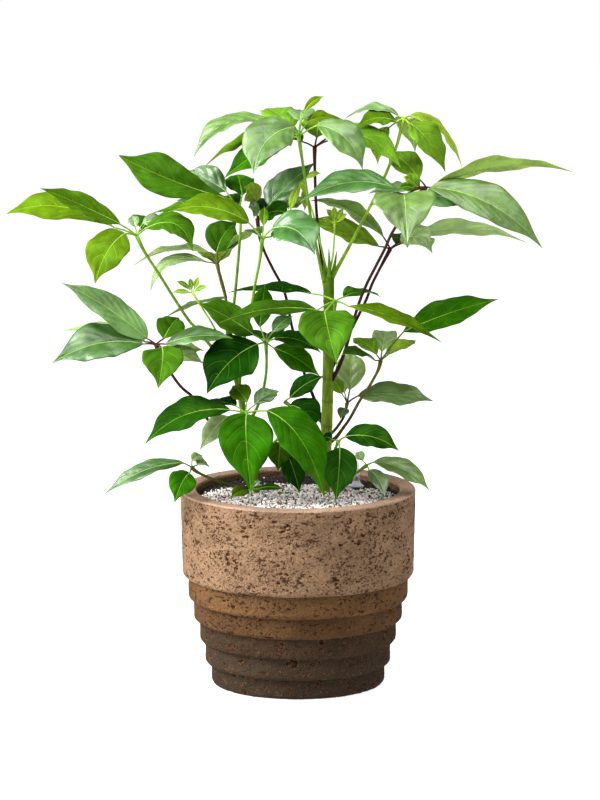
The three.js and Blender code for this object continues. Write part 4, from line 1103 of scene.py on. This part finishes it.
def pot_material():
    """Stucco, mottled and speckled, with pits darkened by painted shade, worn edges around them
    that are partly painted highlight, and painted highlights on their lips.
    """
    net = Net("pitted_stucco", 0.93, Specular_IOR_Level=0.06)
    pit, skin = net.attribute("pit"), net.attribute("skin")
    fine = net.noise(430, 4)
    shade = net.step(net.noise(22, 4, (1, 1, 1.6)), 0.3, 0.7, 0.88, 1.12)
    base = net.times(net.attribute("tone", "Color"), shade)
    base = net.times(base, net.step(fine, 0.3, 0.7, 0.84, 1.2))
    outside = net.step(skin, 0.3, 0.5)
    dense = net.step(net.noise(26, 4, (1, 1, 1.7)), 0.34, 0.66, -0.05, 0.03)

    def field(scale, detail, tall, on_rings, on_band):
        here = net.math("ADD", net.noise(scale, detail, (1, 1, tall)), dense)
        return net.math("ADD", here, net.step(skin, 0.6, 1.0, on_rings, on_band))

    # pits of three sizes: fine crumbs, crevices, and those that are cut into the mesh, all darkened
    # with painted shade
    crumb = field(300, 2, 1.3, -0.06, 0.0)
    crevice = field(135, 2.5, 1.5, 0.004, -0.006)
    ragged = net.math("MULTIPLY_ADD", fine, 0.9, pit)
    pit_shade = net.math("MAXIMUM", net.step(crumb, 0.632, 0.662), net.step(crevice, 0.606, 0.626))
    pit_shade = net.product(net.math("MAXIMUM", pit_shade, net.step(ragged, 0.95, 1.2)), outside)
    near = net.product(net.step(crumb, 0.58, 0.63), net.step(skin, 0.6, 1.0))
    edge = net.product(net.math("MAXIMUM", near, net.step(crevice, 0.568, 0.592)), outside)
    # worn edges around the pits: the raw stucco, and painted highlight as well
    worn_and_lit = net.mix(0.5, base, linear(WORN_AND_LIT_TONE))
    base = net.mix(net.product(edge, 0.5), base, worn_and_lit)
    # painted highlight: the lips of the cut pits are painted lighter, as if they catch the light
    lip_highlight = net.product(net.step(ragged, 0.64, 0.8, 0.0, 0.6), net.step(pit, 0.03, 0.12), outside)
    base = net.mix(lip_highlight, base, net.mix(0.6, base, linear(LIP_HIGHLIGHT_TONE)))
    # painted shade in the depths of the pits
    base = net.mix(pit_shade, base, net.mix(0.85, base, linear(PIT_SHADE_TONE)))
    lumps = net.noise(120, 4, (1, 1, 1.3))
    rough = net.math("MULTIPLY_ADD", lumps, 0.8, net.product(fine, 0.6))
    net.bump(net.math("MULTIPLY_ADD", net.math("ADD", pit_shade, edge), -0.6, rough), 0.005)
    return net.painted(base)


def toned_material(name, rough, mottle=(), relief=0, stretch=(1, 1, 1), **sockets):
    """The colours of the mesh, mottled by noise of a scale, from one factor to another."""
    net = Net(name, rough, **sockets)
    tone = net.attribute("tone", "Color")
    if mottle:
        scale, low, high = mottle
        cloud = net.noise(scale, 3, stretch)
        tone = net.times(tone, net.step(cloud, 0.3, 0.7, low, high))
        if relief:
            net.bump(cloud, relief)
    return net.painted(tone)


UPPER, GLOSS, LOWER = [leaf_material(*row) for row in LEAF_SKINS]
STALK = toned_material("stalk", 0.4, (160, 0.72, 1.2), 0.0006, (1, 1, 0.25),
                       Specular_IOR_Level=0.05)
POT = pot_material()
GRAVEL = toned_material("gravel", 0.85, (300, 0.75, 1.15))
SOIL = toned_material("potting_soil", 0.95, (260, 0.75, 1.15))
FOOT = toned_material("gauge_plastic", 0.35)
CLEAR = toned_material("clear_tube", 0.02, Transmission_Weight=0.85, IOR=1.08)
FLOAT = toned_material("float_plastic", 0.3)
GREENS = [UPPER, LOWER, STALK, GLOSS]

# Pieces

stucco("planter_rings", ring_parts(), False, RINGS_SEED)
stucco("planter_band", band_parts(), True, BAND_SEED)
make_soil()
make_stones()
make_gauge()

for stem, *rest in STEMS:
    build = Build()
    trunk(build, *rest)
    build.piece("trunk_" + stem, GREENS, "plant", ["leafy_stem_" + stem])
for index, (name, stem, *rest) in enumerate(LEAVES):
    build = Build()
    compound_leaf(build, index, *rest)
    build.piece("leaf_" + name, GREENS, "plant", ["leafy_stem_" + stem])

# Floor, light and camera

floor_mesh = bpy.data.meshes.new("floor")
corners = [(x * FLOOR_REACH, y * FLOOR_REACH, 0) for x, y in ((-1, -1), (1, -1), (1, 1), (-1, 1))]
floor_mesh.from_pydata(corners, [], [(0, 1, 2, 3)])
floor = link("floor", floor_mesh)
paper = Net("paper", 0.9, Specular_IOR_Level=0, Emission_Color=(1, 1, 1),
            Emission_Strength=FLOOR_GLOW)
floor_mesh.materials.append(paper.painted(FLOOR_COLOR))
floor.location.z = -0.0005

world = bpy.data.worlds.new("studio")
world.use_nodes = True
sky = world.node_tree.nodes["Background"]
sky.inputs["Color"].default_value = (1, 1, 1, 1)
sky.inputs["Strength"].default_value = SKY_STRENGTH
bpy.context.scene.world = world


def point_at(obj, spot, target):
    obj.location = spot
    obj.rotation_euler = (Vector(target) - Vector(spot)).to_track_quat("-Z", "Y").to_euler()


for name, spot, target, wide, tall, power in LAMPS:
    light = bpy.data.lights.new(name, "AREA")
    light.shape = "RECTANGLE"
    light.size, light.size_y, light.energy = wide, tall, power
    lamp = link(name, light)
    point_at(lamp, spot, target)

camera_data = bpy.data.cameras.new("camera")
camera_data.sensor_fit = "VERTICAL"
camera_data.sensor_height = SENSOR
camera_data.lens = SENSOR * CAMERA_DISTANCE / VIEW_HEIGHT
camera = link("camera", camera_data)
aim = Vector(place(VIEW_CENTRE) * MM)
away = Vector((0, -math.cos(VIEW_TILT), math.sin(VIEW_TILT))) * CAMERA_DISTANCE
point_at(camera, aim + away, aim)
bpy.context.scene.camera = camera
bpy.context.scene.view_settings.view_transform = "Standard"
